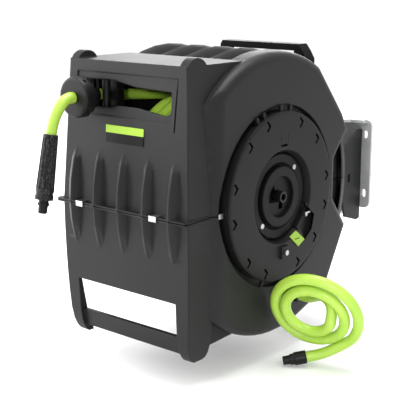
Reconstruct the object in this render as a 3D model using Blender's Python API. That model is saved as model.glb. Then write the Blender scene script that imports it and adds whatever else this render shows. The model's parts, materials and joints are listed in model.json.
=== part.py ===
"""Retractable air hose reel, held to a wall by a swivel bracket.

Metres, +Z up, +X along the drum's axis, the hose comes out towards -Y.
The origin is the centre of the wall plate's back face. Everything that the
bracket carries is laid out from the drum's axis, which is the empty "reel".
"""

import math

import bmesh
import bpy
import numpy as np
from mathutils import Matrix, Vector

# Where the reel hangs from its bracket
WALL_TO_DRUM = 0.343
DRUM_ABOVE_PLATE = 0.009
WALL_TO_PIN = 0.042

# General clearances
SEAT_GAP = 0.0003
RUNNING_GAP = 0.0004

# Hose
HOSE_D = 0.016
HOSE_PITCH = 0.0182
HOSE_TURNS = 7
HOSE_LAYER_R = 0.134
HOSE_LAYERS = 3
WINDING_STEPS = 24

# Moulded casing: a ribbed round shell behind a boxed front
CASE_WALL = 0.0035
SHELL_HALF = 0.105
SHELL_R = 0.201
SHELL_Y, SHELL_Z = 0.016, -0.003
RIB_HEIGHT = 0.012
RIB_PITCH = 0.0475
RIB_WIDTH = 0.030
RIB_ROOT = 0.010
RIB_FORWARD = 0.0053
RIBS = 5
FRONT_INSET = 0.008
FRONT_Y = SHELL_Y - SHELL_R + FRONT_INSET
FRONT_HALF = 0.110
FRONT_REAR_Y = -0.060
FRONT_FLARE = 0.0115
TOP_Z = 0.199
SEAM_Z = -0.006
SEAM_LIP, SEAM_LIP_CORNER, SEAM_LIP_SIDE = 0.0105, 0.0045, 0.0015
SEAM_LIP_HEIGHT = 0.0025
FASCIA_RECESS = 0.0016
FOOT_Z = -0.212
PILLAR_DEPTH = 0.039
PILLAR_WIDTH = 0.014
PILLAR_TOP_Z = 0.208
WINDOW_TOP_Z = -0.124
CROSSBAR_TOP_Z, CROSSBAR_BOTTOM_Z = -0.1745, -0.201
CROSSBAR_SET_BACK, CROSSBAR_THICK = 0.0055, 0.007
UNDERSIDE_SLOPE = 0.303

# Round boss on the right side, with the vee notch behind it for the bracket
BOSS_R = 0.2095
BOSS_INNER_X, BOSS_OUTER_X = 0.090, 0.130
BOSS_FILLET = 0.014
BOSS_FRONT_Y, BOSS_FLANK_RISE = -0.152, 0.014
HORN_Y, HORN_Z = 0.190, 0.077
NOTCH_Y, NOTCH_HALF = 0.152, 0.030

# Side covers and hub
COVER_R = 0.125
COVER_GROOVE = 0.0095
COVER_FACE_X = 0.138
COVER_THICK = 0.0035
LEDGE_X = 0.1185
LEFT_COVER_R = 0.132
LEFT_COVER_DEPTH = 0.008
HUB_RECESS_R = 0.0700
HUB_SEAT_R, HUB_SEAT_X = 0.0640, 0.1215
HUB_RING_R = 0.0627
HUB_RING_FACE_X = 0.1295
HUB_GROOVE_R, HUB_GROOVE_X = 0.0505, 0.1255
HUB_BORE_R = 0.0452
HUB_CAP_FACE_X = 0.134
HUB_POCKET_R = 0.0305
HUB_FLOOR_X = 0.128
HUB_SCREW_PLACE_R = 0.0537
AXLE_R = 0.0085
AXLE_BORE_R = 0.0053
AXLE_END_X = 0.138
AXLE_LEFT_X = -0.118

# Drum
DRUM_HALF = 0.077
FLANGE_R = 0.160
FLANGE_THICK = 0.003
BARREL_WALL = 0.003
SPRING_TURNS = 4
SPRING_STRIP = 0.0012
SPRING_OUTER_R = 0.078
SPRING_INNER_R = 0.022
SPRING_HALF = 0.025
RATCHET_TEETH = 12
RATCHET_R, RATCHET_DEPTH = 0.052, 0.005

# Level wind
SCREW_Y, SCREW_Z = -0.140, 0.106
SCREW_R, SCREW_GROOVE = 0.0065, 0.0016
JOURNAL_R = 0.004
ROD_R = 0.004
ROD_Y, ROD_Z = -0.150, 0.183
PULLEY_R = 0.028
PULLEY_X, PULLEY_WIDTH, PULLEY_LIP = 0.0925, 0.008, 0.0012
BELT_THICK = 0.002
CARRIAGE_REST_X = -0.065
CARRIAGE_HALF = 0.024
CARRIAGE_THICK = 0.014
ROLLER_R = 0.0058
GUIDE_Z = 0.149
ROLLER_Y = -0.1685
SLOT_HALF, SLOT_LEFT_HALF = 0.084, 0.100
SLOT_TOP_Z, SLOT_BOTTOM_Z = 0.172, 0.130

# What is on the end of the hose
STOP_R = 0.029
STOP_THICK = 0.0205
STOP_NECK_R = 0.0145
STOP_FRONT_Y = -0.2195
RESTRICTOR_TOP_R, RESTRICTOR_END_R = 0.0104, 0.0128
RESTRICTOR_LENGTH = 0.090
FITTING_R = 0.0070

# Bracket
PLATE_HALF = 0.079
PLATE_HEIGHT = 0.156
PLATE_THICK = 0.005
SLOT_LENGTH, SLOT_WIDTH = 0.014, 0.007
SLOT_SPACING_X, SLOT_SPACING_Z = 0.136, 0.104
TONGUE_HALF = 0.026
TONGUE_THICK = 0.005
CHEEK_X, CHEEK_THICK = 0.057, 0.004
CHEEK_REACH = 0.0683
CHEEK_TOP_Z, CHEEK_LOW_Z = 0.061, -0.099
PIN_R = 0.006
LUG_HALF = 0.024
LUG_R = 0.020
LUG_BOTTOM_Z = -0.098
LUG_TOP_Z = PLATE_HEIGHT / 2 - TONGUE_THICK - DRUM_ABOVE_PLATE - 0.0005
SPINE_BACK_Y = 0.255

# Carry handle
HANDLE_Y = 0.100
HANDLE_TOP_Z = 0.213
HANDLE_LEFT_X, HANDLE_RIGHT_X = -0.054, 0.098
HANDLE_DEPTH, HANDLE_THICK = 0.022, 0.010

# Lead-in hose
INLET_HOSE_D = 0.016
INLET_X, INLET_Y, INLET_Z = 0.1055, 0.036, -0.156
INLET_NUT_R = 0.0115
INLET_NUT_END_X = 0.147
LOOP_R, LOOP_SHRINK = 0.0706, 0.0181
LOOP_CENTRE = (0.198, -0.002, -0.160)
LOOP_DRIFT = (-0.0013, 0.0007, 0.0039)
LOOP_FACES = (15, -24.6)
LOOP_START, LOOP_STOP = 2.2, 0.1

# Small places on the covers
CHEVRON_R = 0.1135
CHEVRON_ANGLES = (8, 42, 68, 109, 133, 165, 190, 226, 250, 291, 318, 345)
CHEVRON_ARM, CHEVRON_WIDTH = 0.0073, 0.0032
POCKET_ANGLES = (-51, -20)
POCKET_FLOOR_X = 0.1295
HUB_SCREW_ANGLES = (45, 225)
TAG_CORNERS = ((0.0318, -0.0562), (0.0162, -0.0625), (0.0385, -0.0818), (0.0545, -0.0738))
CLIP_LEFT_X, CLIP_RIGHT_X = -0.0765, 0.067
CLIP_HALF = 0.0068
RATCHET_PHASE = 4
PAWL_PIVOT = (-0.052, 0.062)
LEAD_ENTRY = ((0.188, 0.027, -0.146), (0.208, 0.015, -0.1435), (0.223, 0.005, -0.152))
LEAD_LEAVE = ((0.2043, 0.0125, -0.2275),)
LEAD_END = (0.186, -0.002, -0.233)

STEEL = (0.60, 0.60, 0.60)
CHARCOAL = (0.085, 0.086, 0.088)
BLACK = (0.018, 0.018, 0.020)
LIME = (0.42, 0.72, 0.08)
BRASS = (0.62, 0.47, 0.20)
BRIGHT = (0.80, 0.80, 0.80)


def material(name, colour, roughness, metallic=0.0):
    found = bpy.data.materials.get(name)
    if found:
        return found
    made = bpy.data.materials.new(name)
    made.use_nodes = True
    shader = made.node_tree.nodes["Principled BSDF"]
    shader.inputs["Base Color"].default_value = (*colour, 1.0)
    shader.inputs["Roughness"].default_value = roughness
    shader.inputs["Metallic"].default_value = metallic
    return made


FINISHES = {
    "charcoal_plastic": (CHARCOAL, 0.55, 0.0),
    "black_plastic": (BLACK, 0.45, 0.0),
    "lime_hose": (LIME, 0.40, 0.0),
    "lime_plate": (LIME, 0.35, 0.0),
    "zinc_steel": (STEEL, 0.38, 0.9),
    "bright_steel": (BRIGHT, 0.22, 1.0),
    "spring_steel": ((0.22, 0.23, 0.26), 0.35, 1.0),
    "brass": (BRASS, 0.30, 1.0),
    "black_rubber": ((0.025, 0.025, 0.025), 0.75, 0.0),
}


def finish(name):
    colour, roughness, metallic = FINISHES[name]
    return material(name, colour, roughness, metallic)


# Outlines, as lists of points in a plane


def arc(centre, radius, start, stop, steps):
    """Points on a circle from start to stop, in degrees, both ends included."""
    turn = [math.radians(start + (stop - start) * i / steps) for i in range(steps + 1)]
    return [(centre[0] + radius * math.cos(t), centre[1] + radius * math.sin(t)) for t in turn]


def circle(radius, steps, centre=(0.0, 0.0)):
    return arc(centre, radius, 0, 360, steps)[:-1]


def box_outline(u0, u1, v0, v1):
    return [(u0, v0), (u1, v0), (u1, v1), (u0, v1)]


# Solids, as bmesh loops that are skinned and capped

AXES = {"x": (1, 2, 0), "y": (0, 2, 1), "z": (0, 1, 2)}


def placed(outline, along, axis):
    """An outline's points in space, at one place along the axis."""
    u, v, w = AXES[axis]
    points = []
    for first, second in outline:
        point = [0.0, 0.0, 0.0]
        point[u], point[v], point[w] = first, second, along
        points.append(tuple(point))
    return points


def loft(rings, closed=False):
    """A closed skin over loops of equal length; closed joins the last to the first."""
    bm = bmesh.new()
    loops = [[bm.verts.new(p) for p in ring] for ring in rings]
    pairs = list(zip(loops, loops[1:]))
    if closed:
        pairs.append((loops[-1], loops[0]))
    for low, high in pairs:
        for i in range(len(low)):
            j = (i + 1) % len(low)
            bm.faces.new((low[i], low[j], high[j], high[i]))
    if not closed:
        bm.faces.new(loops[0][::-1])
        bm.faces.new(loops[-1])
    return bm


def prism(outline, low, high, axis="x"):
    return loft([placed(outline, low, axis), placed(outline, high, axis)])


def turned(profile, steps, axis="x", centre=(0.0, 0.0)):
    """A profile of (along, radius) points turned about an axis. Points at radius 0 close the ends."""
    u, v, w = AXES[axis]
    rings = []
    for i in range(steps):
        angle = math.tau * i / steps
        ring = []
        for along, radius in profile:
            point = [0.0, 0.0, 0.0]
            point[u] = centre[0] + radius * math.cos(angle)
            point[v] = centre[1] + radius * math.sin(angle)
            point[w] = along
            ring.append(tuple(point))
        rings.append(ring)
    bm = loft(rings, closed=True)
    bmesh.ops.remove_doubles(bm, verts=bm.verts, dist=1e-7)
    bmesh.ops.dissolve_degenerate(bm, dist=1e-7, edges=bm.edges)
    return bm


def disc(radius, low, high, steps, axis="x", centre=(0.0, 0.0)):
    return prism(circle(radius, steps, centre), low, high, axis)


def ring(inner, outer, low, high, steps, axis="x", centre=(0.0, 0.0)):
    return turned([(low, inner), (low, outer), (high, outer), (high, inner)], steps, axis, centre)


def block(x0, x1, y0, y1, z0, z1):
    return prism(box_outline(y0, y1, z0, z1), x0, x1)


# Objects

REEL = None


def to_object(name, bm, finish_name=None, parent=None, origin=(0.0, 0.0, 0.0)):
    """A bmesh in its parent's frame becomes an object whose own origin is at origin."""
    bmesh.ops.recalc_face_normals(bm, faces=bm.faces)
    bmesh.ops.translate(bm, vec=-Vector(origin), verts=bm.verts)
    mesh = bpy.data.meshes.new(name)
    bm.to_mesh(mesh)
    bm.free()
    obj = bpy.data.objects.new(name, mesh)
    bpy.context.scene.collection.objects.link(obj)
    obj.location = origin
    obj.parent = parent
    if finish_name:
        mesh.materials.append(finish(finish_name))
        mesh.shade_smooth()
        mesh.set_sharp_from_angle(angle=math.radians(30))
    return obj


def combine(name, parts, operation="UNION", finish_name=None, parent=None, origin=(0.0, 0.0, 0.0)):
    """The first solid with the others joined to it, or cut from it, one after another."""
    body = to_object(name, parts[0])
    for i, part in enumerate(parts[1:]):
        tool = to_object(f"{name}_tool_{i}", part)
        modifier = body.modifiers.new("shape", "BOOLEAN")
        modifier.operation = operation
        modifier.solver = "MANIFOLD"
        modifier.object = tool
        bpy.context.view_layer.update()
        graph = bpy.context.evaluated_depsgraph_get()
        mesh = bpy.data.meshes.new_from_object(body.evaluated_get(graph))
        body.modifiers.clear()
        body.data = mesh
        bpy.data.objects.remove(tool)
    bm = bmesh.new()
    bm.from_mesh(body.data)
    bpy.data.objects.remove(body)
    if finish_name is None:
        return bm
    return to_object(name, bm, finish_name, parent, origin)


def join(name, parts, finish_name=None, parent=None, origin=(0.0, 0.0, 0.0)):
    return combine(name, parts, "UNION", finish_name, parent, origin)


def cut(name, body, tools, finish_name=None, parent=None, origin=(0.0, 0.0, 0.0)):
    return combine(name, [body, *tools], "DIFFERENCE", finish_name, parent, origin)


def copy_of(bm):
    return bm.copy()


def tube(name, points, diameter, finish_name, parent, resolution=2):
    """A round tube along points, with filled ends."""
    curve = bpy.data.curves.new(name, "CURVE")
    curve.dimensions = "3D"
    curve.bevel_depth = diameter / 2
    curve.bevel_resolution = resolution
    curve.use_fill_caps = True
    spline = curve.splines.new("POLY")
    spline.points.add(len(points) - 1)
    for point, place in zip(spline.points, points):
        point.co = (*place, 1.0)
    curve.materials.append(finish(finish_name))
    obj = bpy.data.objects.new(name, curve)
    bpy.context.scene.collection.objects.link(obj)
    obj.parent = parent
    return obj


def between(first, last, start, end, at):
    """The point at a value on the line that runs from first to last as the value runs from start to end."""
    return ((end - at) * first + (at - start) * last) / (end - start)


def smooth_route(controls, count):
    """Points at even spacing along a smooth curve through the route's own points."""
    places = np.array(controls, float)
    knots = np.concatenate([[0], np.cumsum(np.sqrt(np.linalg.norm(np.diff(places, axis=0), axis=1)))])
    ahead = 2 * places[-1] - places[-2]
    behind = 2 * places[0] - places[1]
    padded = np.vstack([behind, places, ahead])
    gaps = np.diff(knots)
    times = np.concatenate([[-gaps[0]], knots, [knots[-1] + gaps[-1]]])
    dense = []
    for i in range(len(places) - 1):
        p, t = padded[i : i + 4], times[i : i + 4]
        for s in np.linspace(t[1], t[2], 40, endpoint=i == len(places) - 2):
            a = [between(p[k], p[k + 1], t[k], t[k + 1], s) for k in range(3)]
            b = [between(a[k], a[k + 1], t[k], t[k + 2], s) for k in range(2)]
            dense.append(between(b[0], b[1], t[1], t[2], s))
    dense = np.array(dense)
    run = np.concatenate([[0], np.cumsum(np.linalg.norm(np.diff(dense, axis=0), axis=1))])
    even = np.linspace(0, run[-1], count)
    return [tuple(float(np.interp(s, run, dense[:, k])) for k in range(3)) for s in even]


def least_self_gap(points, diameter, apart):
    """The least distance between stretches of a tube at least apart points from each other."""
    places = np.array(points)
    fine = np.vstack([np.linspace(p, q, 4, endpoint=False) for p, q in zip(places, places[1:])])
    least = math.inf
    for i in range(0, len(fine)):
        rest = fine[i + 4 * apart :]
        if len(rest):
            least = min(least, float(np.linalg.norm(rest - fine[i], axis=1).min()))
    return least - diameter


# Casing


def front_half(z):
    """Half the boxed front's width: it flares towards the seam from top and bottom."""
    return FRONT_HALF + FRONT_FLARE * flare(z)


def front_y(z):
    """The front face's place, which stands proudest at the seam."""
    return FRONT_Y - 0.0025 - FRONT_FLARE * flare(z) + foot_recess(z)


def flare(z):
    top, bottom = PILLAR_TOP_Z, FOOT_Z
    if z > SEAM_Z:
        return (top - z) / (top - SEAM_Z)
    return math.sqrt(max(0.0, 1 - ((SEAM_Z - z) / (SEAM_Z - bottom)) ** 2))


def foot_recess(z):
    return 0.006 * max(0.0, (CROSSBAR_TOP_Z - z) / (CROSSBAR_TOP_Z - FOOT_Z)) ** 2


def underside_z(y, inset=0.0):
    """The sloping floor behind the front window, which leaves the window clear to see through."""
    start = front_y(WINDOW_TOP_Z)
    return WINDOW_TOP_Z - UNDERSIDE_SLOPE * (y - start) + inset * math.hypot(1, UNDERSIDE_SLOPE)


def below_underside(inset):
    far = 0.3
    outline = [
        (-far, underside_z(-far, inset)),
        (far, underside_z(far, inset)),
        (far, -2 * far),
        (-far, -2 * far),
    ]
    return prism(outline, -far, far)


def front_block(inset):
    """The boxed front between the window and the top panel."""
    levels = [WINDOW_TOP_Z + inset, -0.090, -0.050, SEAM_Z, 0.100, TOP_Z - inset]
    rings = []
    for z in levels:
        half, front = front_half(z) - inset, front_y(z) + inset
        rear = FRONT_REAR_Y - inset
        rings.append([(-half, front, z), (half, front, z), (half, rear, z), (-half, rear, z)])
    return loft(rings)


def round_shell(inset):
    outline = circle(SHELL_R - inset, 36 if inset else 54, (SHELL_Y, SHELL_Z))
    return prism(outline, -SHELL_HALF + inset, SHELL_HALF - inset)


def main_body(inset):
    body = join("body", [round_shell(inset), front_block(inset)])
    return cut("body", body, [below_underside(inset)])


def rib(x, grow=0.0):
    """One raised band round the shell. Where it meets the flat front it shows as a pointed bulge."""
    base, height, half = SHELL_R - RIB_ROOT + grow, RIB_HEIGHT + RIB_ROOT, RIB_WIDTH / 2 + grow
    crown = [-1, -0.85, -0.5, 0, 0.5, 0.85, 1]
    profile = [(x + s * half, base + height * (1 - abs(s) ** 2.6)) for s in crown]
    floor = base - RIB_HEIGHT / 3
    profile += [(x + half, floor), (x - half, floor)]
    return turned(profile, 44, "x", (SHELL_Y - RIB_FORWARD, SHELL_Z))


def rib_places():
    return [(i - (RIBS - 1) / 2) * RIB_PITCH for i in range(RIBS)]


def shrunk(outline, inset):
    """A closed outline with each edge moved inwards by inset."""
    area = sum(a[0] * b[1] - b[0] * a[1] for a, b in zip(outline, outline[1:] + outline[:1]))
    side = 1 if area > 0 else -1
    edges = []
    for (y0, z0), (y1, z1) in zip(outline, outline[1:] + outline[:1]):
        length = math.hypot(y1 - y0, z1 - z0)
        normal = (-side * (z1 - z0) / length, side * (y1 - y0) / length)
        edges.append((normal, normal[0] * y0 + normal[1] * z0 + inset))
    points = []
    for (n0, d0), (n1, d1) in zip(edges[-1:] + edges[:-1], edges):
        cross = n0[0] * n1[1] - n0[1] * n1[0]
        points.append(((d0 * n1[1] - d1 * n0[1]) / cross, (n0[0] * d1 - n1[0] * d0) / cross))
    return points


def boss_outline(inset, along=BOSS_INNER_X):
    """The right side's outline: a circle cut off in front, with two horns and a notch behind."""
    rise = (along - FRONT_HALF) / (BOSS_OUTER_X - FRONT_HALF)
    front = BOSS_FRONT_Y + BOSS_FLANK_RISE * max(0.0, rise)
    angle = math.degrees(math.acos(front / BOSS_R))
    rear = [
        (0.172, 0.105),
        (HORN_Y - 0.002, HORN_Z),
        (NOTCH_Y, NOTCH_HALF + 0.004),
        (NOTCH_Y, -NOTCH_HALF + 0.002),
        (HORN_Y, -HORN_Z),
        (0.141, -0.163),
        (0.103, -0.187),
    ]
    points = arc((0, 0), BOSS_R, angle, 60, 13) + rear + arc((0, 0), BOSS_R, -76, -angle, 11)
    return shrunk(points, inset)


def boss_outer():
    steps = 4
    levels = [(BOSS_INNER_X, 0.0), (FRONT_HALF, 0.0)]
    for i in range(steps + 1):
        turn = math.radians(90 * i / steps)
        inset = BOSS_FILLET * (1 - math.cos(turn))
        levels.append((BOSS_OUTER_X - BOSS_FILLET * (1 - math.sin(turn)), inset))
    return loft([placed(boss_outline(inset, along), along, "x") for along, inset in levels])


def boss_cavity():
    low, high = BOSS_INNER_X + CASE_WALL, BOSS_OUTER_X - CASE_WALL
    wall = CASE_WALL + 0.0015
    levels = [(low, wall), (high - BOSS_FILLET, wall), (high, wall + 0.010)]
    return loft([placed(boss_outline(inset, along), along, "x") for along, inset in levels])


def pillar(side):
    """A corner post with a rounded top and foot. The left one is a thin leg beside the window."""
    outer = 1 if side > 0 else -1
    back = FRONT_Y + PILLAR_DEPTH

    def depth(z):
        if side > 0 or z > WINDOW_TOP_Z:
            return back
        return front_y(z) + 0.006 + 0.012 * (WINDOW_TOP_Z - z) / (WINDOW_TOP_Z - FOOT_Z)

    rings = []
    foot = [(FOOT_Z, 0.30), (FOOT_Z + 0.003, 0.17), (FOOT_Z + 0.009, 0.07), (FOOT_Z + 0.020, 0.0)]
    levels = foot + [(z, 0.0) for z in (CROSSBAR_TOP_Z, -0.150, WINDOW_TOP_Z - 0.001)]
    levels += [(z, 0.0) for z in (WINDOW_TOP_Z + 0.001, -0.060, SEAM_Z, 0.100)]
    levels.append((PILLAR_TOP_Z - PILLAR_DEPTH / 2, 0.0))
    for z, rounding in levels:
        front, rear = front_y(z), depth(z)
        span = rear - front
        half = front_half(z)
        x0, x1 = outer * (FRONT_HALF - PILLAR_WIDTH), outer * half
        y0, y1 = front + 0.6 * rounding * span, rear - rounding * span
        rings.append([(x0, y0, z), (x1, y0, z), (x1, y1, z), (x0, y1, z)])
    shaft = loft(rings)
    top = PILLAR_TOP_Z - PILLAR_DEPTH / 2
    centre_y = (front_y(top) + back) / 2
    radius = (back - front_y(top)) / 2 - 0.0001
    low, high = sorted((outer * (FRONT_HALF - PILLAR_WIDTH + 0.0002), outer * (front_half(top) - 0.0002)))
    cap = disc(radius, low, high, 24, "x", (centre_y, top - 0.0003))
    return [shaft, cap]


def crossbar():
    reach = FRONT_HALF - PILLAR_WIDTH / 2
    rings = []
    for z in (CROSSBAR_BOTTOM_Z, CROSSBAR_TOP_Z):
        front = front_y(z) + CROSSBAR_SET_BACK
        back = front + CROSSBAR_THICK
        rings.append([(-reach, front, z), (reach, front, z), (reach, back, z), (-reach, back, z)])
    return loft(rings)


def right_web():
    """The skirt that closes the corner between the right foot and the round boss."""
    outline = [(-0.145, -0.100), (-0.145, -0.196), (-0.083, -0.193), (-0.020, -0.150), (-0.060, -0.100)]
    return prism(outline, FRONT_HALF - 0.006, FRONT_HALF)


def seam_lip(low, high):
    """Half of the flange that runs round the front where the two halves meet, widest at the front."""
    half, front = front_half(SEAM_Z), front_y(SEAM_Z) - SEAM_LIP
    corner, side = half + SEAM_LIP_CORNER, half + SEAM_LIP_SIDE
    right = [
        (corner - 0.003, front),
        (corner, front + 0.003),
        (corner, front + SEAM_LIP),
        (side, front + 2.5 * SEAM_LIP),
        (side, BOSS_FRONT_Y + 0.004),
    ]
    left = [(-x, y) for x, y in right[::-1]]
    return prism(right + left, low, high, "z")


def fascia_recess():
    """The shallow step in the front face round the hose slot."""
    rings = []
    for z, right in ((SLOT_BOTTOM_Z - 0.007, 0.087), (SLOT_TOP_Z + 0.0105, 0.0955)):
        left, far, near = -FRONT_HALF + PILLAR_WIDTH + 0.0005, FRONT_Y - 0.05, front_y(z) + FASCIA_RECESS
        rings.append([(left, far, z), (right, far, z), (right, near, z), (left, near, z)])
    return loft(rings)


def spine():
    """The box on the back of the shell that the swivel lug is bolted to."""
    return block(-LUG_HALF, LUG_HALF, SHELL_Y + SHELL_R - 0.030, SPINE_BACK_Y, -0.080, 0.040)


def casing_outer():
    body = join("outer", [main_body(0.0), *[rib(x) for x in rib_places()]])
    body = cut("outer", body, [below_underside(0.0)])
    parts = [body, boss_outer(), right_web(), spine(), crossbar()]
    for side in (-1, 1):
        parts += pillar(side)
    return join("outer", parts)


def casing_cavity():
    inner = join("cavity", [main_body(CASE_WALL), boss_cavity()])
    shaft_room = disc(COVER_R + COVER_GROOVE, LEDGE_X - 0.03, BOSS_OUTER_X + 0.02, 44)
    return join("cavity", [inner, shaft_room])


def ledge():
    """The turned step that the right cover sits on, deep in its groove."""
    outer = COVER_R + COVER_GROOVE
    profile = [
        (LEDGE_X - CASE_WALL, COVER_R - 0.010),
        (LEDGE_X - CASE_WALL, outer + CASE_WALL),
        (BOSS_OUTER_X - 0.0012, outer + CASE_WALL),
        (BOSS_OUTER_X - 0.0012, outer),
        (LEDGE_X, outer),
        (LEDGE_X, COVER_R - 0.010),
    ]
    return combine("ledge", [turned(profile, 48), boss_outer()], "INTERSECT")


def slot_outline():
    """The hose slot: tall at the left for the guide, tapering to the right."""
    return [
        (-SLOT_LEFT_HALF, SLOT_BOTTOM_Z + 0.004),
        (-0.027, SLOT_BOTTOM_Z + 0.004),
        (-0.014, SLOT_BOTTOM_Z + 0.008),
        (0.024, SLOT_BOTTOM_Z + 0.008),
        (SLOT_HALF - 0.008, SLOT_BOTTOM_Z + 0.001),
        (SLOT_HALF, SLOT_BOTTOM_Z + 0.007),
        (SLOT_HALF, SLOT_TOP_Z - 0.008),
        (0.018, SLOT_TOP_Z - 0.006),
        (-0.024, SLOT_TOP_Z + 0.001),
        (-SLOT_LEFT_HALF, SLOT_TOP_Z + 0.001),
    ]


def casing_halves():
    outer, cavity = casing_outer(), casing_cavity()
    whole = cut("casing", outer, [cavity])
    whole = join("casing", [whole, ledge()])
    slot = prism(slot_outline(), FRONT_Y - 0.05, FRONT_Y + 0.03, "y")
    left_hole = disc(LEFT_COVER_R - 0.012, -SHELL_HALF - 0.03, -SHELL_HALF + 0.02, 36)
    left_seat = disc(LEFT_COVER_R + 0.0008, -SHELL_HALF - 0.03, -SHELL_HALF, 36)
    low, high = BOSS_OUTER_X - 0.02, BOSS_OUTER_X + 0.02
    inlet_hole = disc(INLET_NUT_R + SEAT_GAP, low, high, 16, "x", (INLET_Y, INLET_Z))
    whole = cut("casing", whole, [slot, fascia_recess(), left_hole, left_seat, inlet_hole, *clip_rooms()])
    room = 0.5
    for name, low, high, lip in (
        ("upper_casing", SEAM_Z + SEAT_GAP / 2, room, (SEAM_Z, SEAM_Z + SEAM_LIP_HEIGHT)),
        ("lower_casing", -room, SEAM_Z - SEAT_GAP / 2, (SEAM_Z - SEAM_LIP_HEIGHT, SEAM_Z)),
    ):
        rim = cut("rim", seam_lip(*lip), [front_block(0.002), round_shell(0.002)])
        half = join("half", [copy_of(whole), rim])
        keep = block(-room, room, -room, room, low, high)
        combine(name, [half, keep], "INTERSECT", "charcoal_plastic", REEL)


def clip_shapes(grow):
    """The front seam clips as (name, outer, inner): a strip folded over both lips, larger by grow."""
    lip_front = front_y(SEAM_Z) - SEAM_LIP
    proud, half_width, far = 0.0011 + grow, CLIP_HALF + grow, 0.02
    reach = SEAM_LIP - 0.0006 + grow
    gap = SEAT_GAP - grow
    z = SEAM_LIP_HEIGHT + gap
    shapes = []
    for name, x in (("seam_clip_front_left", CLIP_LEFT_X), ("seam_clip_front_right", CLIP_RIGHT_X)):
        span, low, high = (x - half_width, x + half_width), SEAM_Z - z - proud, SEAM_Z + z + proud
        outer = block(*span, lip_front - gap - proud, lip_front + reach, low, high)
        inner = block(x - far, x + far, lip_front - gap, lip_front + far, SEAM_Z - z, SEAM_Z + z)
        shapes.append((name, outer, inner))
    return shapes


def clip_rooms():
    """What the clips need clear of the moulding round them."""
    return [cut("room", outer, [inner]) for _, outer, inner in clip_shapes(SEAT_GAP)]


def seam_clips():
    """Bright spring clips that pinch the two halves together at the seam."""
    for name, outer, inner in clip_shapes(0.0):
        cut(name, outer, [inner], "bright_steel", REEL)
    rim = -COVER_R - COVER_GROOVE
    low, high = SEAM_Z - 0.0035, SEAM_Z + 0.0035
    top = BOSS_OUTER_X - 0.0025
    plate = block(top, top + 0.0015, rim - 0.002, rim + COVER_GROOVE - 0.0012, low, high)
    leg = block(LEDGE_X + SEAT_GAP, top + 0.0005, rim + 0.0011, rim + 0.0026, low, high)
    join("seam_clip_side", [plate, leg], "bright_steel", REEL)
    bolt_y = NOTCH_Y + SEAT_GAP
    bolt = disc(0.004, bolt_y, bolt_y + 0.006, 6, "y", (BOSS_OUTER_X - BOSS_FILLET - 0.004, SEAM_Z + 0.006))
    to_object("rear_seam_bolt", bolt, "bright_steel", REEL)


def label_plate():
    """A bare lime plate under the slot, held to the flat front."""
    z0, z1 = 0.087, 0.111
    y0, y1 = front_y(z0), front_y(z1)
    outline = [
        (y0 - 0.0012, z0),
        (y0 - SEAT_GAP, z0),
        (y1 - SEAT_GAP, z1),
        (y1 - 0.0012, z1),
    ]
    to_object("label_plate", prism(outline, -0.035, 0.037), "lime_plate", REEL)


# Covers, hub and axle


def chevron(angle):
    """A small angled notch in the cover's face, one of a ring of them."""
    arm, width = CHEVRON_ARM, CHEVRON_WIDTH
    outline = [(-arm, -width), (0, 0), (arm, -width), (arm, 0), (0, width), (-arm, 0)]
    turn = math.radians(angle - 90)
    place = Vector((math.cos(math.radians(angle)), math.sin(math.radians(angle)))) * CHEVRON_R
    outline = [place + Matrix.Rotation(turn, 2) @ Vector(corner) for corner in outline]
    return prism([tuple(corner) for corner in outline], COVER_FACE_X - 0.0018, COVER_FACE_X + 0.02)


def right_cover():
    face, wall, seat = COVER_FACE_X, COVER_THICK, LEDGE_X + SEAT_GAP
    floor, bush = HUB_SEAT_X, AXLE_R + SEAT_GAP
    profile = [
        (seat, COVER_R - wall),
        (seat, COVER_R),
        (face - 0.003, COVER_R),
        (face - 0.0008, COVER_R - 0.0012),
        (face, COVER_R - 0.004),
        (face, HUB_RECESS_R),
        (face - 0.001, HUB_RECESS_R - 0.001),
        (HUB_RING_FACE_X, HUB_SEAT_R + 0.002),
        (floor, HUB_SEAT_R),
        (floor, bush),
        (floor - 0.0065, bush),
        (floor - 0.0065, bush + 0.005),
        (floor - wall, bush + 0.008),
        (floor - wall, HUB_SEAT_R + wall),
        (face - wall, HUB_RECESS_R + wall),
        (face - wall, COVER_R - wall),
    ]
    body = turned(profile, 44)
    raised = block(face - 0.002, face + 0.004, -0.006, 0.010, -0.092, -0.074)
    dish = prism(pocket_outline(wall), POCKET_FLOOR_X - wall, face - wall / 2)
    body = join("cover", [body, raised, dish])
    tools = [chevron(angle) for angle in CHEVRON_ANGLES]
    tools.append(block(face - 0.02, face + 0.02, -0.0075, 0.0075, 0.0745, 0.0775))
    tools.append(prism(pocket_outline(0.0), POCKET_FLOOR_X, face + 0.02))
    tools.append(disc(HUB_SEAT_R, floor, face + 0.02, 44))
    cut("right_side_cover", body, tools, "charcoal_plastic", REEL)


def pocket_outline(grow):
    """The opening beside the hub, which breaks into the hub's recess."""
    low, high = POCKET_ANGLES
    outer = [(0.0592, -0.0210), (0.0809, -0.0404), (0.0750, -0.0620), (0.0570, -0.0760)]
    inner = arc((0, 0), HUB_SEAT_R + 0.0005, low, high, 6)
    return shrunk(outer + inner[:-1], -grow) if grow else outer + inner[:-1]


def valve_stem():
    """The bright end of the shut-off valve's stem, in the pocket beside the hub."""
    floor = POCKET_FLOOR_X
    place = (0.0672, -0.0385)
    stem = disc(0.0028, floor + SEAT_GAP, floor + 0.0055, 8, "x", place)
    head = disc(0.0042, floor + 0.003, floor + 0.006, 8, "x", place)
    join("valve_stem", [stem, head], "bright_steel", REEL)


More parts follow.
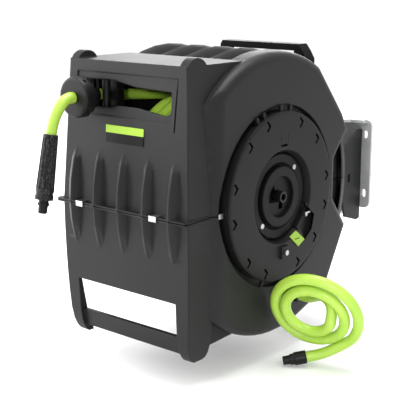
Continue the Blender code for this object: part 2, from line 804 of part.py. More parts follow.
def hub():
    """The ring and the cap that stand in the cover's recess round the axle's end."""
    seat, face, edge = HUB_SEAT_X + SEAT_GAP, HUB_RING_FACE_X, 0.001
    ring_profile = [
        (seat, HUB_BORE_R),
        (seat, HUB_RING_R),
        (face - edge, HUB_RING_R),
        (face, HUB_RING_R - edge),
        (face, HUB_GROOVE_R),
        (HUB_GROOVE_X, HUB_BORE_R + edge),
        (HUB_GROOVE_X, HUB_BORE_R),
    ]
    sunk, head_r = 0.003, 0.0040
    holes = []
    for angle in HUB_SCREW_ANGLES:
        turn = math.radians(angle)
        place = (HUB_SCREW_PLACE_R * math.cos(turn), HUB_SCREW_PLACE_R * math.sin(turn))
        holes.append(disc(head_r + 0.0004, face - sunk, face + 0.01, 12, "x", place))
        head = disc(head_r, face - sunk + SEAT_GAP, face, 12, "x", place)
        to_object(f"hub_screw_{angle}", head, "bright_steel", REEL)
    cut("hub_ring", turned(ring_profile, 40), holes, "charcoal_plastic", REEL)
    cap, floor, thick = HUB_CAP_FACE_X, HUB_FLOOR_X, 0.002
    outer, bore = HUB_BORE_R - 2 * SEAT_GAP, AXLE_R + SEAT_GAP
    cap_profile = [
        (seat, outer),
        (cap - edge, outer),
        (cap, outer - edge),
        (cap, HUB_POCKET_R + edge),
        (cap - edge, HUB_POCKET_R),
        (floor, HUB_POCKET_R),
        (floor, bore),
        (floor - thick, bore),
        (floor - thick, HUB_POCKET_R + thick),
        (seat, HUB_POCKET_R + thick),
    ]
    left = [(-0.0205, -0.007), (-0.0205, 0.004), (-0.011, 0.0185), (-0.007, 0.0095)]
    window = prism(left + [(0.0, 0.0095), (0.0, -0.0085)], floor - 0.01, cap)
    notch = block(floor - 0.01, cap, 0.002, 0.0115, -0.020, -0.008)
    cut("hub_cap", turned(cap_profile, 36), [window, notch], "charcoal_plastic", REEL)


def small_fixings():
    face = COVER_FACE_X
    bolt = disc(0.0042, face + 0.004 + SEAT_GAP, face + 0.0075, 8, "x", (0.002, -0.083))
    to_object("latch_bolt", bolt, "bright_steel", REEL)
    tag = prism(list(TAG_CORNERS), face + SEAT_GAP, face + 0.0013)
    to_object("lime_tag", tag, "lime_plate", REEL)


def left_cover():
    face = -SHELL_HALF - LEFT_COVER_DEPTH
    seat = -SHELL_HALF - SEAT_GAP
    bore = AXLE_R + SEAT_GAP
    profile = [
        (seat, LEFT_COVER_R),
        (seat, LEFT_COVER_R - 0.016),
        (face + 0.003, LEFT_COVER_R - 0.020),
        (face + 0.003, 0.018),
        (seat + 0.009, 0.018),
        (seat + 0.009, bore),
        (face, bore),
        (face, LEFT_COVER_R - 0.006),
        (face + 0.004, LEFT_COVER_R),
    ]
    to_object("left_side_cover", turned(profile, 36), "charcoal_plastic", REEL)


def axle():
    arbor = SPRING_INNER_R - SPRING_STRIP / 2 - SEAT_GAP
    low, high = spring_low(), spring_low() + 2 * SPRING_HALF
    profile = [
        (AXLE_LEFT_X, AXLE_BORE_R),
        (AXLE_LEFT_X, AXLE_R),
        (low, AXLE_R),
        (low, arbor),
        (high, arbor),
        (high, AXLE_R),
        (AXLE_END_X, AXLE_R),
        (AXLE_END_X, AXLE_BORE_R),
    ]
    to_object("axle", turned(profile, 16), "black_plastic", REEL)
    nut = disc(0.014, AXLE_LEFT_X + 0.0005, -SHELL_HALF - LEFT_COVER_DEPTH - SEAT_GAP, 6)
    cut("axle_nut", nut, [disc(AXLE_R + SEAT_GAP, -0.2, 0, 16)], "zinc_steel", REEL)


# Drum


def drum():
    drum_parent = bpy.data.objects.new("drum_axis", None)
    drum_parent.parent = REEL
    bpy.context.scene.collection.objects.link(drum_parent)
    inner_layers = HOSE_LAYERS - 1
    barrel_r = HOSE_LAYER_R - HOSE_D * (inner_layers + 0.5) - 0.0005
    bore, half = barrel_r - BARREL_WALL, DRUM_HALF
    bore_r = AXLE_R + RUNNING_GAP
    web = half - 0.018
    profile = [
        (-half, barrel_r),
        (half, barrel_r),
        (half, bore),
        (web + BARREL_WALL, bore),
        (web + BARREL_WALL, bore_r + 0.003),
        (half, bore_r + 0.003),
        (half, bore_r),
        (web - 0.016, bore_r),
        (web - 0.016, bore_r + 0.003),
        (web, bore_r + 0.003),
        (web, bore),
        (-half, bore),
    ]
    to_object("drum_barrel", turned(profile, 18), "black_plastic", drum_parent)
    start, rim, hub_r = half + SEAT_GAP, 0.0015, bore_r + 0.004
    face = start + FLANGE_THICK
    disc_part = [(start, bore_r), (start, FLANGE_R), (face + rim, FLANGE_R), (face + rim, FLANGE_R - 0.004)]
    disc_part.append((face, FLANGE_R - 0.004))
    belt_low, belt_high, lip = PULLEY_X - PULLEY_WIDTH / 2, PULLEY_X + PULLEY_WIDTH / 2, PULLEY_LIP
    belt_groove = [
        (face, PULLEY_R),
        (belt_low + lip, PULLEY_R),
        (belt_low + lip, PULLEY_R - BELT_THICK),
        (belt_high - lip, PULLEY_R - BELT_THICK),
        (belt_high - lip, PULLEY_R),
        (belt_high, PULLEY_R),
        (belt_high, bore_r),
    ]
    to_object("drum_flange_right", turned(disc_part + belt_groove, 24), "black_plastic", drum_parent)
    ratchet_seat = [(face, hub_r), (face + 0.012, hub_r), (face + 0.012, bore_r)]
    left = turned([(-x, r) for x, r in disc_part + ratchet_seat], 24)
    to_object("drum_flange_left", left, "black_plastic", drum_parent)
    outside = HOSE_LAYER_R * math.cos(math.pi / WINDING_STEPS) - HOSE_D / 2 - 0.0006
    layers = ring(barrel_r + 2 * SEAT_GAP, outside, -half + SEAT_GAP, half - SEAT_GAP, 18)
    to_object("hose_inner_layers", layers, "lime_hose", drum_parent)
    winding(drum_parent)
    ratchet(drum_parent, hub_r + SEAT_GAP, half)
    mainspring()
    return drum_parent


def lay_on_angle():
    """Where the hose leaves the drum's top for the guide, in degrees, and the run to it."""
    y, z = ROLLER_Y, GUIDE_Z
    reach = math.hypot(y, z)
    touch = math.atan2(z, y) - math.acos(HOSE_LAYER_R / reach)
    return math.degrees(touch)


def winding(parent):
    """The outer layer of hose: one unbroken tube laid side by side round the drum."""
    steps = WINDING_STEPS
    start = lay_on_angle()
    points = []
    for i in range(int(HOSE_TURNS * steps) + 1):
        turn = i / steps
        angle = math.radians(start - 360 * turn)
        x = CARRIAGE_REST_X + HOSE_PITCH * turn
        points.append((x, HOSE_LAYER_R * math.cos(angle), HOSE_LAYER_R * math.sin(angle)))
    print("winding: least gap to itself", round(1000 * least_self_gap(points, HOSE_D, steps // 2), 2), "mm")
    tube("hose_winding", points, HOSE_D, "lime_hose", parent, 1)


def ratchet(parent, bore, half):
    outline = []
    for i in range(RATCHET_TEETH):
        start = 360 * i / RATCHET_TEETH + RATCHET_PHASE
        root = start + 360 / RATCHET_TEETH
        outline += arc((0, 0), RATCHET_R, start, start + 2, 1)
        outline += arc((0, 0), RATCHET_R - RATCHET_DEPTH, root - 5, root - 1, 1)
    x = -half - FLANGE_THICK - SEAT_GAP * 2
    wheel = cut("wheel", prism(outline, x - 0.005, x), [disc(bore, x - 0.02, x + 0.02, 24)])
    to_object("ratchet_wheel", wheel, "zinc_steel", parent)


def spiral(inner, outer, turns, steps):
    points = []
    for i in range(int(turns * steps) + 1):
        share = i / (turns * steps)
        radius = inner + (outer - inner) * share
        angle = math.tau * i / steps
        points.append((radius * math.cos(angle), radius * math.sin(angle)))
    return points


def spring_low():
    return -DRUM_HALF + 0.004


def mainspring():
    """The flat spiral spring in the barrel that winds the hose back in."""
    centre = [Vector(place) for place in spiral(SPRING_INNER_R, SPRING_OUTER_R, SPRING_TURNS, 12)]
    outer = [tuple(place + place.normalized() * SPRING_STRIP / 2) for place in centre]
    inner = [tuple(place - place.normalized() * SPRING_STRIP / 2) for place in centre]
    x = spring_low()
    to_object("mainspring", prism(outer + inner[::-1], x, x + 2 * SPRING_HALF), "spring_steel", REEL)


# Level wind


def screw():
    """A fine twisted screw that drives the guide across, one pitch of hose for each turn of the drum."""
    steps, sides = 5, 6
    first = CARRIAGE_REST_X - CARRIAGE_HALF - 0.001
    last = PULLEY_X - PULLEY_WIDTH / 2 - SEAT_GAP
    count = int((last - first) / HOSE_PITCH * steps)
    rings = []
    for i in range(count + 1):
        x = first + (last - first) * i / count
        angle = math.tau * (x - first) / HOSE_PITCH
        y = SCREW_Y + SCREW_GROOVE * math.cos(angle)
        z = SCREW_Z + SCREW_GROOVE * math.sin(angle)
        rings.append(placed(circle(SCREW_R - SCREW_GROOVE, sides, (y, z)), x, "x"))
    end = front_half(SCREW_Z) - CASE_WALL - 0.001
    centre, origin = (SCREW_Y, SCREW_Z), (0.0, SCREW_Y, SCREW_Z)
    spans = ((-end, first + 0.003), (last - 0.003, end))
    journals = [disc(JOURNAL_R, *span, 12, "x", centre) for span in spans]
    join("levelwind_screw", [loft(rings), *journals], "zinc_steel", REEL, origin)
    low, high = PULLEY_X - PULLEY_WIDTH / 2, PULLEY_X + PULLEY_WIDTH / 2
    groove, bore = PULLEY_R - BELT_THICK, JOURNAL_R + SEAT_GAP
    profile = [
        (low, bore),
        (low, PULLEY_R),
        (low + PULLEY_LIP, PULLEY_R),
        (low + PULLEY_LIP, groove),
        (high - PULLEY_LIP, groove),
        (high - PULLEY_LIP, PULLEY_R),
        (high, PULLEY_R),
        (high, bore),
    ]
    to_object("screw_pulley", turned(profile, 16, "x", (SCREW_Y, SCREW_Z)), "black_plastic", REEL, origin)
    for name, side in (("screw_bush_left", -1), ("screw_bush_right", 1)):
        wall = front_half(SCREW_Z) - CASE_WALL - 0.001
        low, high = sorted((side * (wall - 0.008), side * wall))
        body = ring(JOURNAL_R + RUNNING_GAP, 0.009, low, high, 14, "x", (SCREW_Y, SCREW_Z))
        to_object(name, body, "brass", REEL)


def belt():
    """The closed belt round the drum's pulley and the screw's."""
    angle = math.degrees(math.atan2(SCREW_Z, SCREW_Y))
    grow = RUNNING_GAP

    def loop(radius):
        round_drum = arc((0, 0), radius, angle + 90, angle + 270, 14)
        return round_drum + arc((SCREW_Y, SCREW_Z), radius, angle - 90, angle + 90, 14)

    root = PULLEY_R - BELT_THICK
    inside, outside = loop(root + grow), loop(root + grow + BELT_THICK)
    half = PULLEY_WIDTH / 2 - PULLEY_LIP - RUNNING_GAP
    low, high = PULLEY_X - half, PULLEY_X + half
    corners = ((inside, low), (outside, low), (outside, high), (inside, high))
    rings = [placed(outline, along, "x") for outline, along in corners]
    to_object("drive_belt", loft(rings, closed=True), "black_rubber", REEL)


def guide_rod():
    wall = front_half(ROD_Z) - CASE_WALL - SEAT_GAP
    to_object("guide_rod", disc(ROD_R, -wall, wall, 16, "x", (ROD_Y, ROD_Z)), "zinc_steel", REEL)


def carriage():
    parent = bpy.data.objects.new("carriage_place", None)
    parent.parent = REEL
    parent.location = (CARRIAGE_REST_X, 0, 0)
    bpy.context.scene.collection.objects.link(parent)
    half, y0, y1 = CARRIAGE_HALF, ROD_Y - CARRIAGE_THICK / 2, ROD_Y + CARRIAGE_THICK / 2
    top, bottom = ROD_Z + 0.008, GUIDE_Z - 0.037
    body = block(-half, half, y0, y1, bottom, top)
    jaw = 0.005
    roller_top, roller_bottom = GUIDE_Z + 0.0225, GUIDE_Z - 0.0225
    front = ROLLER_Y - 0.005
    upper = block(-half, half, front, y0 + 0.002, roller_top, roller_top + jaw)
    lower = block(-half, half, front, y0 + 0.002, roller_bottom - jaw, roller_bottom)
    follower = block(-0.006, 0.006, y0, SCREW_Y + 0.011, SCREW_Z - 0.011, bottom + 0.002)
    body = join("carriage", [body, upper, lower, follower])
    tools = [disc(ROD_R + RUNNING_GAP, -0.1, 0.1, 16, "x", (ROD_Y, ROD_Z))]
    tools.append(disc(SCREW_R + SEAT_GAP * 2, -0.1, 0.1, 16, "x", (SCREW_Y, SCREW_Z)))
    tools.append(disc(HOSE_D / 2 + 0.0022, -0.3, 0, 20, "y", (0, GUIDE_Z)))
    spread = HOSE_D / 2 + ROLLER_R + 0.0006
    for side in (-1, 1):
        tools.append(disc(0.0021, 0, 0.3, 10, "z", (side * spread, ROLLER_Y)))
    cut("guide_carriage", body, tools, "black_plastic", parent)
    for name, side in (("guide_roller_left", -1), ("guide_roller_right", 1)):
        place = (side * spread, ROLLER_Y)
        low, high = roller_bottom + SEAT_GAP, roller_top - SEAT_GAP
        body = ring(0.0024, ROLLER_R, low, high, 16, "z", place)
        to_object(name, body, "black_plastic", parent, (*place, GUIDE_Z))
        pin = disc(0.0018, roller_bottom - jaw, roller_top + jaw, 10, "z", place)
        to_object(name.replace("roller", "roller_pin"), pin, "bright_steel", parent)
    return parent


def hose_stop(parent):
    """The two halves clamped on the hose that keep its end from running in."""
    back = STOP_FRONT_Y + STOP_THICK
    panel = front_y(GUIDE_Z - STOP_R) - 0.0008
    bore = HOSE_D / 2 + 0.0002
    edge = 0.005
    profile = [
        (STOP_FRONT_Y, bore),
        (STOP_FRONT_Y, STOP_R - edge),
        (STOP_FRONT_Y + edge * 0.3, STOP_R - edge * 0.3),
        (STOP_FRONT_Y + edge, STOP_R),
        (back - edge * 0.5, STOP_R),
        (back, STOP_R - edge * 0.5),
        (back, STOP_NECK_R),
        (panel, STOP_NECK_R),
        (panel, bore),
    ]
    whole = turned(profile, 28, "y", (0, GUIDE_Z))
    bolt_x, bolt_y, room = 0.0165, STOP_FRONT_Y + 0.0075, 0.004
    pockets = []
    for side in (-1, 1):
        x = side * bolt_x
        pockets.append(block(x - room, x + room, back - 0.006, back + 0.01, GUIDE_Z - 0.04, GUIDE_Z + 0.04))
    whole = cut("stop", whole, pockets)
    for name, low, high in (
        ("hose_stop_upper", GUIDE_Z + SEAT_GAP / 2, GUIDE_Z + 0.05),
        ("hose_stop_lower", GUIDE_Z - 0.05, GUIDE_Z - SEAT_GAP / 2),
    ):
        keep = block(-0.05, 0.05, STOP_FRONT_Y - 0.01, 0, low, high)
        half = combine("half", [copy_of(whole), keep], "INTERSECT")
        holes = [disc(0.0024, 0, 0.4, 10, "z", (side * bolt_x, bolt_y)) for side in (-1, 1)]
        cut(name, half, holes, "black_plastic", parent)
    for name, side in (("stop_bolt_left", -1), ("stop_bolt_right", 1)):
        bolt = disc(0.0021, GUIDE_Z - 0.017, GUIDE_Z + 0.017, 10, "z", (side * bolt_x, bolt_y))
        to_object(name, bolt, "bright_steel", parent)


def hose_strand(parent):
    """The run of hose from the top of the drum through the guide to the stop."""
    angle = math.radians(lay_on_angle())
    start = Vector((0, HOSE_LAYER_R * math.cos(angle), HOSE_LAYER_R * math.sin(angle)))
    guide = Vector((0, ROLLER_Y, GUIDE_Z))
    along = (guide - start).normalized()
    start = start + along * (HOSE_D / 2 * math.sin(math.pi / WINDING_STEPS) + SEAT_GAP)
    points = [start, start + along * 0.02, start.lerp(guide, 0.5), guide]
    points.append(Vector((0, STOP_FRONT_Y + 0.001, GUIDE_Z)))
    tube("hose_strand", [tuple(p) for p in points], HOSE_D, "lime_hose", parent, 2)


TAIL_ROUTE = (
    (0.0, -0.2165, 0.1490),
    (0.0, -0.2240, 0.1488),
    (0.0, -0.2335, 0.1450),
    (0.0, -0.2455, 0.1330),
    (0.0, -0.2540, 0.1180),
    (0.0, -0.2590, 0.1010),
    (0.0, -0.2620, 0.0850),
)


def hose_end(parent):
    """The hose outside the stop, with its bend restrictor and male fitting."""
    first = TAIL_ROUTE[0]
    shift = (0.0, STOP_FRONT_Y + SEAT_GAP - first[1], GUIDE_Z - first[2])
    route = [tuple(a + b for a, b in zip(place, shift)) for place in TAIL_ROUTE]
    points = smooth_route(route, 14)
    tube("hose_tail", points, HOSE_D, "lime_hose", parent, 3)
    end, before = Vector(route[-1]), Vector(route[-2])
    down = (end - before).normalized()
    sleeve_start = end - down * 0.018
    length = RESTRICTOR_LENGTH
    bore = HOSE_D / 2 + 0.0006
    ribs = 5
    profile = [(0.0, bore), (0.0, RESTRICTOR_TOP_R)]
    for i in range(ribs):
        share = (i + 0.5) / (ribs + 1)
        radius = RESTRICTOR_TOP_R + (RESTRICTOR_END_R - RESTRICTOR_TOP_R) * share
        x = length * 0.72 * (i + 0.6) / ribs
        waist = radius - 0.0016
        profile += [(x, radius), (x + 0.0015, waist), (x + 0.0035, waist), (x + 0.005, radius)]
    profile += [
        (length * 0.80, RESTRICTOR_END_R),
        (length * 0.86, RESTRICTOR_END_R - 0.0015),
        (length * 0.90, RESTRICTOR_END_R),
        (length, RESTRICTOR_END_R),
        (length, FITTING_R + SEAT_GAP),
        (0.0183, FITTING_R + SEAT_GAP),
        (0.0183, bore),
    ]
    align(turned(profile, 14, "z"), "bend_restrictor", "black_rubber", parent, sleeve_start, down)
    fitting = [
        (0.0186, 0.004),
        (0.0186, FITTING_R),
        (length + 0.004, FITTING_R),
        (length + 0.004, FITTING_R + 0.0012),
        (length + 0.0075, FITTING_R + 0.0012),
        (length + 0.0075, FITTING_R - 0.0004),
        (length + 0.018, FITTING_R - 0.0008),
        (length + 0.019, FITTING_R - 0.0018),
        (length + 0.019, 0.004),
    ]
    align(turned(fitting, 16, "z"), "male_fitting", "black_plastic", parent, sleeve_start, down)


def align(bm, name, finish_name, parent, start, direction):
    """A solid made along +Z from the origin, laid along a direction from a starting point."""
    turn = Vector((0, 0, 1)).rotation_difference(direction).to_matrix().to_4x4()
    bmesh.ops.transform(bm, matrix=Matrix.Translation(start) @ turn, verts=bm.verts)
    return to_object(name, bm, finish_name, parent)


# Ratchet pawl


def pawl():
    """The catch that holds the drum against its spring, clear of the wheel while the hose is in."""
    y, z = PAWL_PIVOT
    x = -DRUM_HALF - FLANGE_THICK - SEAT_GAP * 2
    tip = (RATCHET_R + 0.0016) / math.hypot(y, z)
    nose = (y * tip, z * tip)
    side = Vector((-z, y)).normalized() * 0.004
    outline = [
        (nose[0], nose[1]),
        (nose[0] + side.x + 0.001, nose[1] + side.y + 0.0025),
        (y + side.x * 1.5, z + side.y * 1.5),
        (y * 1.06, z * 1.06),
        (y - side.x * 1.5, z - side.y * 1.5),
    ]
    body = prism(outline, x - 0.005, x)
    body = cut("pawl", body, [disc(0.0026, x - 0.02, x + 0.02, 10, "x", (y, z))])
    to_object("pawl", body, "zinc_steel", REEL, (0.0, y, z))
    wall = -SHELL_HALF + CASE_WALL + SEAT_GAP
    to_object("pawl_pin", disc(0.0022, wall, x - SEAT_GAP, 10, "x", (y, z)), "bright_steel", REEL)


# Inlet and lead-in hose


def inlet():
    """The air inlet: a block on the axle, a short hose and an elbow out through the side."""
    reach = math.hypot(INLET_Y, INLET_Z)
    out = Vector((0, INLET_Y / reach, INLET_Z / reach))
    x = INLET_X
    body = ring(AXLE_R + SEAT_GAP, 0.015, x - 0.008, x + 0.008, 16)
    spout = disc(0.0072, 0.0, 0.008, 12, "z")
    turn = Vector((0, 0, 1)).rotation_difference(out).to_matrix().to_4x4()
    place = Matrix.Translation(Vector((x, 0, 0)) + out * 0.012)
    bmesh.ops.transform(spout, matrix=place @ turn, verts=spout.verts)
    join("inlet_block", [body, spout], "brass", REEL)
    start = Vector((x, 0, 0)) + out * (0.020 + SEAT_GAP)
    end = Vector((x, INLET_Y, INLET_Z)) - out * (0.012 + SEAT_GAP)
    points = [tuple(start.lerp(end, i / 4)) for i in range(5)]
    tube("inlet_hose", points, 0.014, "black_rubber", REEL, 2)
    knee = disc(0.0085, -0.012, 0.0095, 14, "z")
    bmesh.ops.transform(knee, matrix=Matrix.Translation((x, INLET_Y, INLET_Z)) @ turn, verts=knee.verts)
    centre = (INLET_Y, INLET_Z)
    arm = disc(0.0085, x - 0.002, INLET_NUT_END_X - 0.004, 14, "x", centre)
    collar = disc(INLET_NUT_R, BOSS_OUTER_X - CASE_WALL - 0.003, INLET_NUT_END_X, 16, "x", centre)
    join("inlet_elbow", [knee, arm, collar], "black_plastic", REEL)


def lead_in_route():
    """Out of the elbow, round a slack spiral that hangs beside the casing, and along to its fitting."""
    azimuth, rise = (math.radians(v) for v in LOOP_FACES)
    across = Vector((math.cos(azimuth), math.sin(azimuth), 0))
    level = Vector((math.sin(azimuth), -math.cos(azimuth), 0))
    facing = level * math.cos(rise) + Vector((0, 0, math.sin(rise)))
    up = facing.cross(across)
    drift = LOOP_DRIFT[0] * across + LOOP_DRIFT[1] * up + LOOP_DRIFT[2] * facing

    def on_loop(turn):
        angle = math.radians(360 * turn - 90)
        spoke = (LOOP_R - LOOP_SHRINK * turn) * (math.cos(angle) * across + math.sin(angle) * up)
        return Vector(LOOP_CENTRE) + drift * turn + spoke

    exit_place = Vector((INLET_NUT_END_X + SEAT_GAP, INLET_Y, INLET_Z))
    straight = exit_place + Vector((INLET_HOSE_D, 0, 0))
    first = int(LOOP_START * 24)
    coil = [on_loop((first - i) / 24) for i in range(first - int(LOOP_STOP * 24))]
    entry = smooth_route([exit_place, straight, *LEAD_ENTRY, *coil[:3]], 16)
    near = ((straight, INLET_HOSE_D / 2), (exit_place, INLET_HOSE_D))
    entry = [p for p in map(Vector, entry) if all((p - place).length > least for place, least in near)]
    end = Vector(LEAD_END)
    leave = smooth_route([*coil[-3:], *LEAD_LEAVE, end], 9)
    return [tuple(p) for p in [exit_place, straight, *entry[:-2], *coil[1:-3], *map(Vector, leave)]]


def lead_in():
    points = lead_in_route()
    self_gap = least_self_gap(points, INLET_HOSE_D, 12)
    length = sum(math.dist(a, b) for a, b in zip(points, points[1:]))
    print("lead-in hose: least gap to itself", round(1000 * self_gap, 2), "mm, length", round(length, 3), "m")
    tube("lead_in_hose", points, INLET_HOSE_D, "lime_hose", REEL, 1)
    end, before = Vector(points[-1]), Vector(points[-2])
    along = (end - before).normalized()
    profile = [
        (SEAT_GAP, 0.004),
        (SEAT_GAP, 0.0098),
        (0.017, 0.0098),
        (0.019, 0.0082),
        (0.024, 0.0082),
        (0.024, 0.0068),
        (0.034, 0.0064),
        (0.035, 0.0056),
        (0.035, 0.004),
    ]
    align(turned(profile, 16, "z"), "lead_in_fitting", "black_plastic", REEL, end, along)


# Handle and bracket


def handle():
    y0, y1 = HANDLE_Y - HANDLE_DEPTH / 2, HANDLE_Y + HANDLE_DEPTH / 2
    top, low = HANDLE_TOP_Z, HANDLE_TOP_Z - HANDLE_THICK
    leg = 0.010
    outline = [
        (HANDLE_LEFT_X, 0.165),
        (HANDLE_LEFT_X, top - 0.006),
        (HANDLE_LEFT_X + 0.004, top),
        (HANDLE_RIGHT_X - 0.002, top),
        (HANDLE_RIGHT_X + 0.006, top - 0.010),
        (HANDLE_RIGHT_X + 0.013, top - 0.022),
        (HANDLE_RIGHT_X + 0.013, 0.165),
        (HANDLE_RIGHT_X - leg, 0.165),
        (HANDLE_RIGHT_X - leg, low),
        (HANDLE_LEFT_X + leg, low),
        (HANDLE_LEFT_X + leg, 0.165),
    ]
    body = prism(outline, y0, y1, "y")
    grow = SEAT_GAP + 0.0003
    tools = [disc(SHELL_R + grow, -0.2, 0.2, 64, "x", (SHELL_Y, SHELL_Z))]
    tools += [rib(x, grow) for x in rib_places()]
    tools.append(prism([(y, z) for y, z in boss_outline(-grow)], BOSS_INNER_X - grow, BOSS_OUTER_X + 0.02))
    cut("carry_handle", body, tools, "black_plastic", REEL)


def bracket():
    pin_y = -WALL_TO_PIN
    plate_z = PLATE_HEIGHT / 2
    front = -PLATE_THICK
    low_z = DRUM_ABOVE_PLATE + LUG_BOTTOM_Z - RUNNING_GAP
    corner = 0.010
    outline = []
    for sx, sz, start in ((1, 1, 0), (-1, 1, 90), (-1, -1, 180), (1, -1, 270)):
        outline += arc((sx * (PLATE_HALF - corner), sz * (plate_z - corner)), corner, start, start + 90, 3)
    plate = prism(outline, front, 0.0, "y")
    neck = block(-TONGUE_HALF, TONGUE_HALF, front, 0.0, low_z - TONGUE_THICK, 0)
    parts = [plate, neck]
    wide = [(-PLATE_HALF + corner, front + 0.001), (PLATE_HALF - corner, front + 0.001)]
    shelf = [(PLATE_HALF - corner, front - 0.012), (TONGUE_HALF + 0.02, front - 0.014)]
    nose = arc((0, pin_y), TONGUE_HALF, 0, -180, 8)
    shelf_left = [(-x, y) for x, y in shelf[::-1]]
    parts.append(prism(wide + shelf + nose + shelf_left, plate_z - TONGUE_THICK, plate_z, "z"))
    tongue = [(TONGUE_HALF, front + 0.001)] + nose + [(-TONGUE_HALF, front + 0.001)]
    parts.append(prism(tongue, low_z - TONGUE_THICK, low_z, "z"))
    body = join("bracket", parts)
    tools = [disc(PIN_R + SEAT_GAP, -0.3, 0.3, 16, "z", (0, pin_y))]
    for sx in (-1, 1):
        for sz in (-1, 1):
            x, z = sx * SLOT_SPACING_X / 2, sz * SLOT_SPACING_Z / 2
            r, run = SLOT_WIDTH / 2, (SLOT_LENGTH - SLOT_WIDTH) / 2
            slot = arc((x, z + run), r, 0, 180, 12) + arc((x, z - run), r, 180, 360, 12)
            tools.append(prism(slot, -0.02, 0.02, "y"))
    cut("wall_bracket", body, tools, "zinc_steel")
    cheeks(front)
    hinge_pin(pin_y, plate_z, low_z)


def cheeks(front):
    """Two side plates that brace the tongues, pointed in front like the notch they face."""
    back = front - SEAT_GAP
    reach = back - CHEEK_REACH
    outline = [
        (back, CHEEK_TOP_Z),
        (back, CHEEK_LOW_Z + 0.002),
        (back - 0.010, CHEEK_LOW_Z),
        (back - 0.047, CHEEK_LOW_Z + 0.0115),
        (reach + 0.001, -0.0195),
        (reach, 0.0035),
        (back - 0.036, CHEEK_TOP_Z - 0.013),
        (back - 0.010, CHEEK_TOP_Z),
    ]
    for name, side in (("bracket_cheek_left", -1), ("bracket_cheek_right", 1)):
        low, high = sorted((side * CHEEK_X, side * (CHEEK_X + CHEEK_THICK)))
        hole = block(-0.2, 0.2, back - 0.041, back - 0.035, -0.028, -0.013)
        cut(name, prism(outline, low, high), [hole], "charcoal_plastic")


def hinge_pin(pin_y, plate_z, low_z):
    z0, z1 = low_z - TONGUE_THICK - 0.008, plate_z + 0.0003
    profile = [
        (z0, 0.0),
        (z0, PIN_R - 0.001),
        (z0 + 0.001, PIN_R),
        (z1, PIN_R),
        (z1, PIN_R + 0.004),
        (z1 + 0.004, PIN_R + 0.003),
        (z1 + 0.0045, 0.0),
    ]
    to_object("swivel_pin", turned(profile, 20, "z", (0, pin_y)), "bright_steel")
    clip_top = low_z - TONGUE_THICK - SEAT_GAP
    clip = ring(PIN_R + SEAT_GAP, 0.011, clip_top - 0.0015, clip_top, 20, "z", (0, pin_y))
    to_object("pin_clip", clip, "spring_steel")


def swivel_lug():
    """The casing's own half of the hinge, bolted to its back, with the barrel that turns on the pin."""
    pin_y = WALL_TO_DRUM - WALL_TO_PIN
    start = SPINE_BACK_Y + SEAT_GAP
    barrel = disc(LUG_R, LUG_BOTTOM_Z, LUG_TOP_Z, 24, "z", (0, pin_y))
    neck = block(-0.014, 0.014, start + 0.002, pin_y, LUG_BOTTOM_Z + 0.018, LUG_TOP_Z - 0.010)
    flange = block(-LUG_HALF, LUG_HALF, start, start + 0.005, -0.080, 0.040)
    body = join("lug", [barrel, neck, flange])
    bore = disc(PIN_R + RUNNING_GAP, -0.3, 0.3, 16, "z", (0, pin_y))
    cut("swivel_lug", body, [bore], "charcoal_plastic", REEL)
    for name, x in (("lug_bolt_left", 0.0055 - LUG_HALF), ("lug_bolt_right", LUG_HALF - 0.0055)):
        head = disc(0.0042, start + 0.005 + SEAT_GAP, start + 0.009, 6, "y", (x, -0.020))
        to_object(name, head, "zinc_steel", REEL)


def build():
    for obj in list(bpy.data.objects):
        bpy.data.objects.remove(obj)
    global REEL
    REEL = bpy.data.objects.new("reel", None)
    REEL.location = (0, -WALL_TO_DRUM, DRUM_ABOVE_PLATE)
    bpy.context.scene.collection.objects.link(REEL)
    casing_halves()
    seam_clips()
    label_plate()
    right_cover()
    valve_stem()
    hub()
    small_fixings()
    left_cover()
    axle()
    drum()
    screw()
    belt()
    guide_rod()
    moving = carriage()
    hose_stop(moving)
    hose_strand(moving)
    hose_end(moving)
    pawl()
    inlet()
    lead_in()
    handle()
    bracket()
    swivel_lug()


build()
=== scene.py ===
"""The looks of the retractable air hose reel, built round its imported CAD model.

Metres, +Z up, the hose comes out towards -Y. REEL is the middle of the drum in
the model's frame. The places of the hose, the lead-in hose, the side cover and
the line on the tag are given from it, and all others in the model's frame.
"""

import json
import math

import bpy
import numpy as np
from mathutils import Matrix, Vector


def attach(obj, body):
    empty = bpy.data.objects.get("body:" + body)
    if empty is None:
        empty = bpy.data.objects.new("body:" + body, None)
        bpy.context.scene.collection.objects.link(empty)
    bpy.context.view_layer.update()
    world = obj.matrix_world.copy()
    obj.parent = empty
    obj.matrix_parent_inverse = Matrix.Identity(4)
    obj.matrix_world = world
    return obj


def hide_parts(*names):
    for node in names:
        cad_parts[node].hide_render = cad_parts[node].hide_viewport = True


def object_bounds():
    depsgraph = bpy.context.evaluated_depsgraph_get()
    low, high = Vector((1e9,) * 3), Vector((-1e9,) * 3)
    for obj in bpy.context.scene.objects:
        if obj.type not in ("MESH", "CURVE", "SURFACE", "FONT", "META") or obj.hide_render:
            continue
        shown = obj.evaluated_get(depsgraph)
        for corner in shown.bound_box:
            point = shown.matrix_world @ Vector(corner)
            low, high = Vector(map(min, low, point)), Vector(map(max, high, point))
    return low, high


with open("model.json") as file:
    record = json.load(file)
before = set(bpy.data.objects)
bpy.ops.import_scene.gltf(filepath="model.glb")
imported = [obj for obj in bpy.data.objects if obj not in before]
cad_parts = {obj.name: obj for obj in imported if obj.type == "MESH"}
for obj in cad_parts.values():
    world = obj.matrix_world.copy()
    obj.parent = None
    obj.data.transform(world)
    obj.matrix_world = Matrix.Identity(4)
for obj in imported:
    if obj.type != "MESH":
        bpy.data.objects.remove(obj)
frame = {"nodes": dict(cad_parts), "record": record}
CAD_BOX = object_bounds()

REEL = Vector((0.0, -0.343, 0.009))
SEAT_GAP = 0.0003

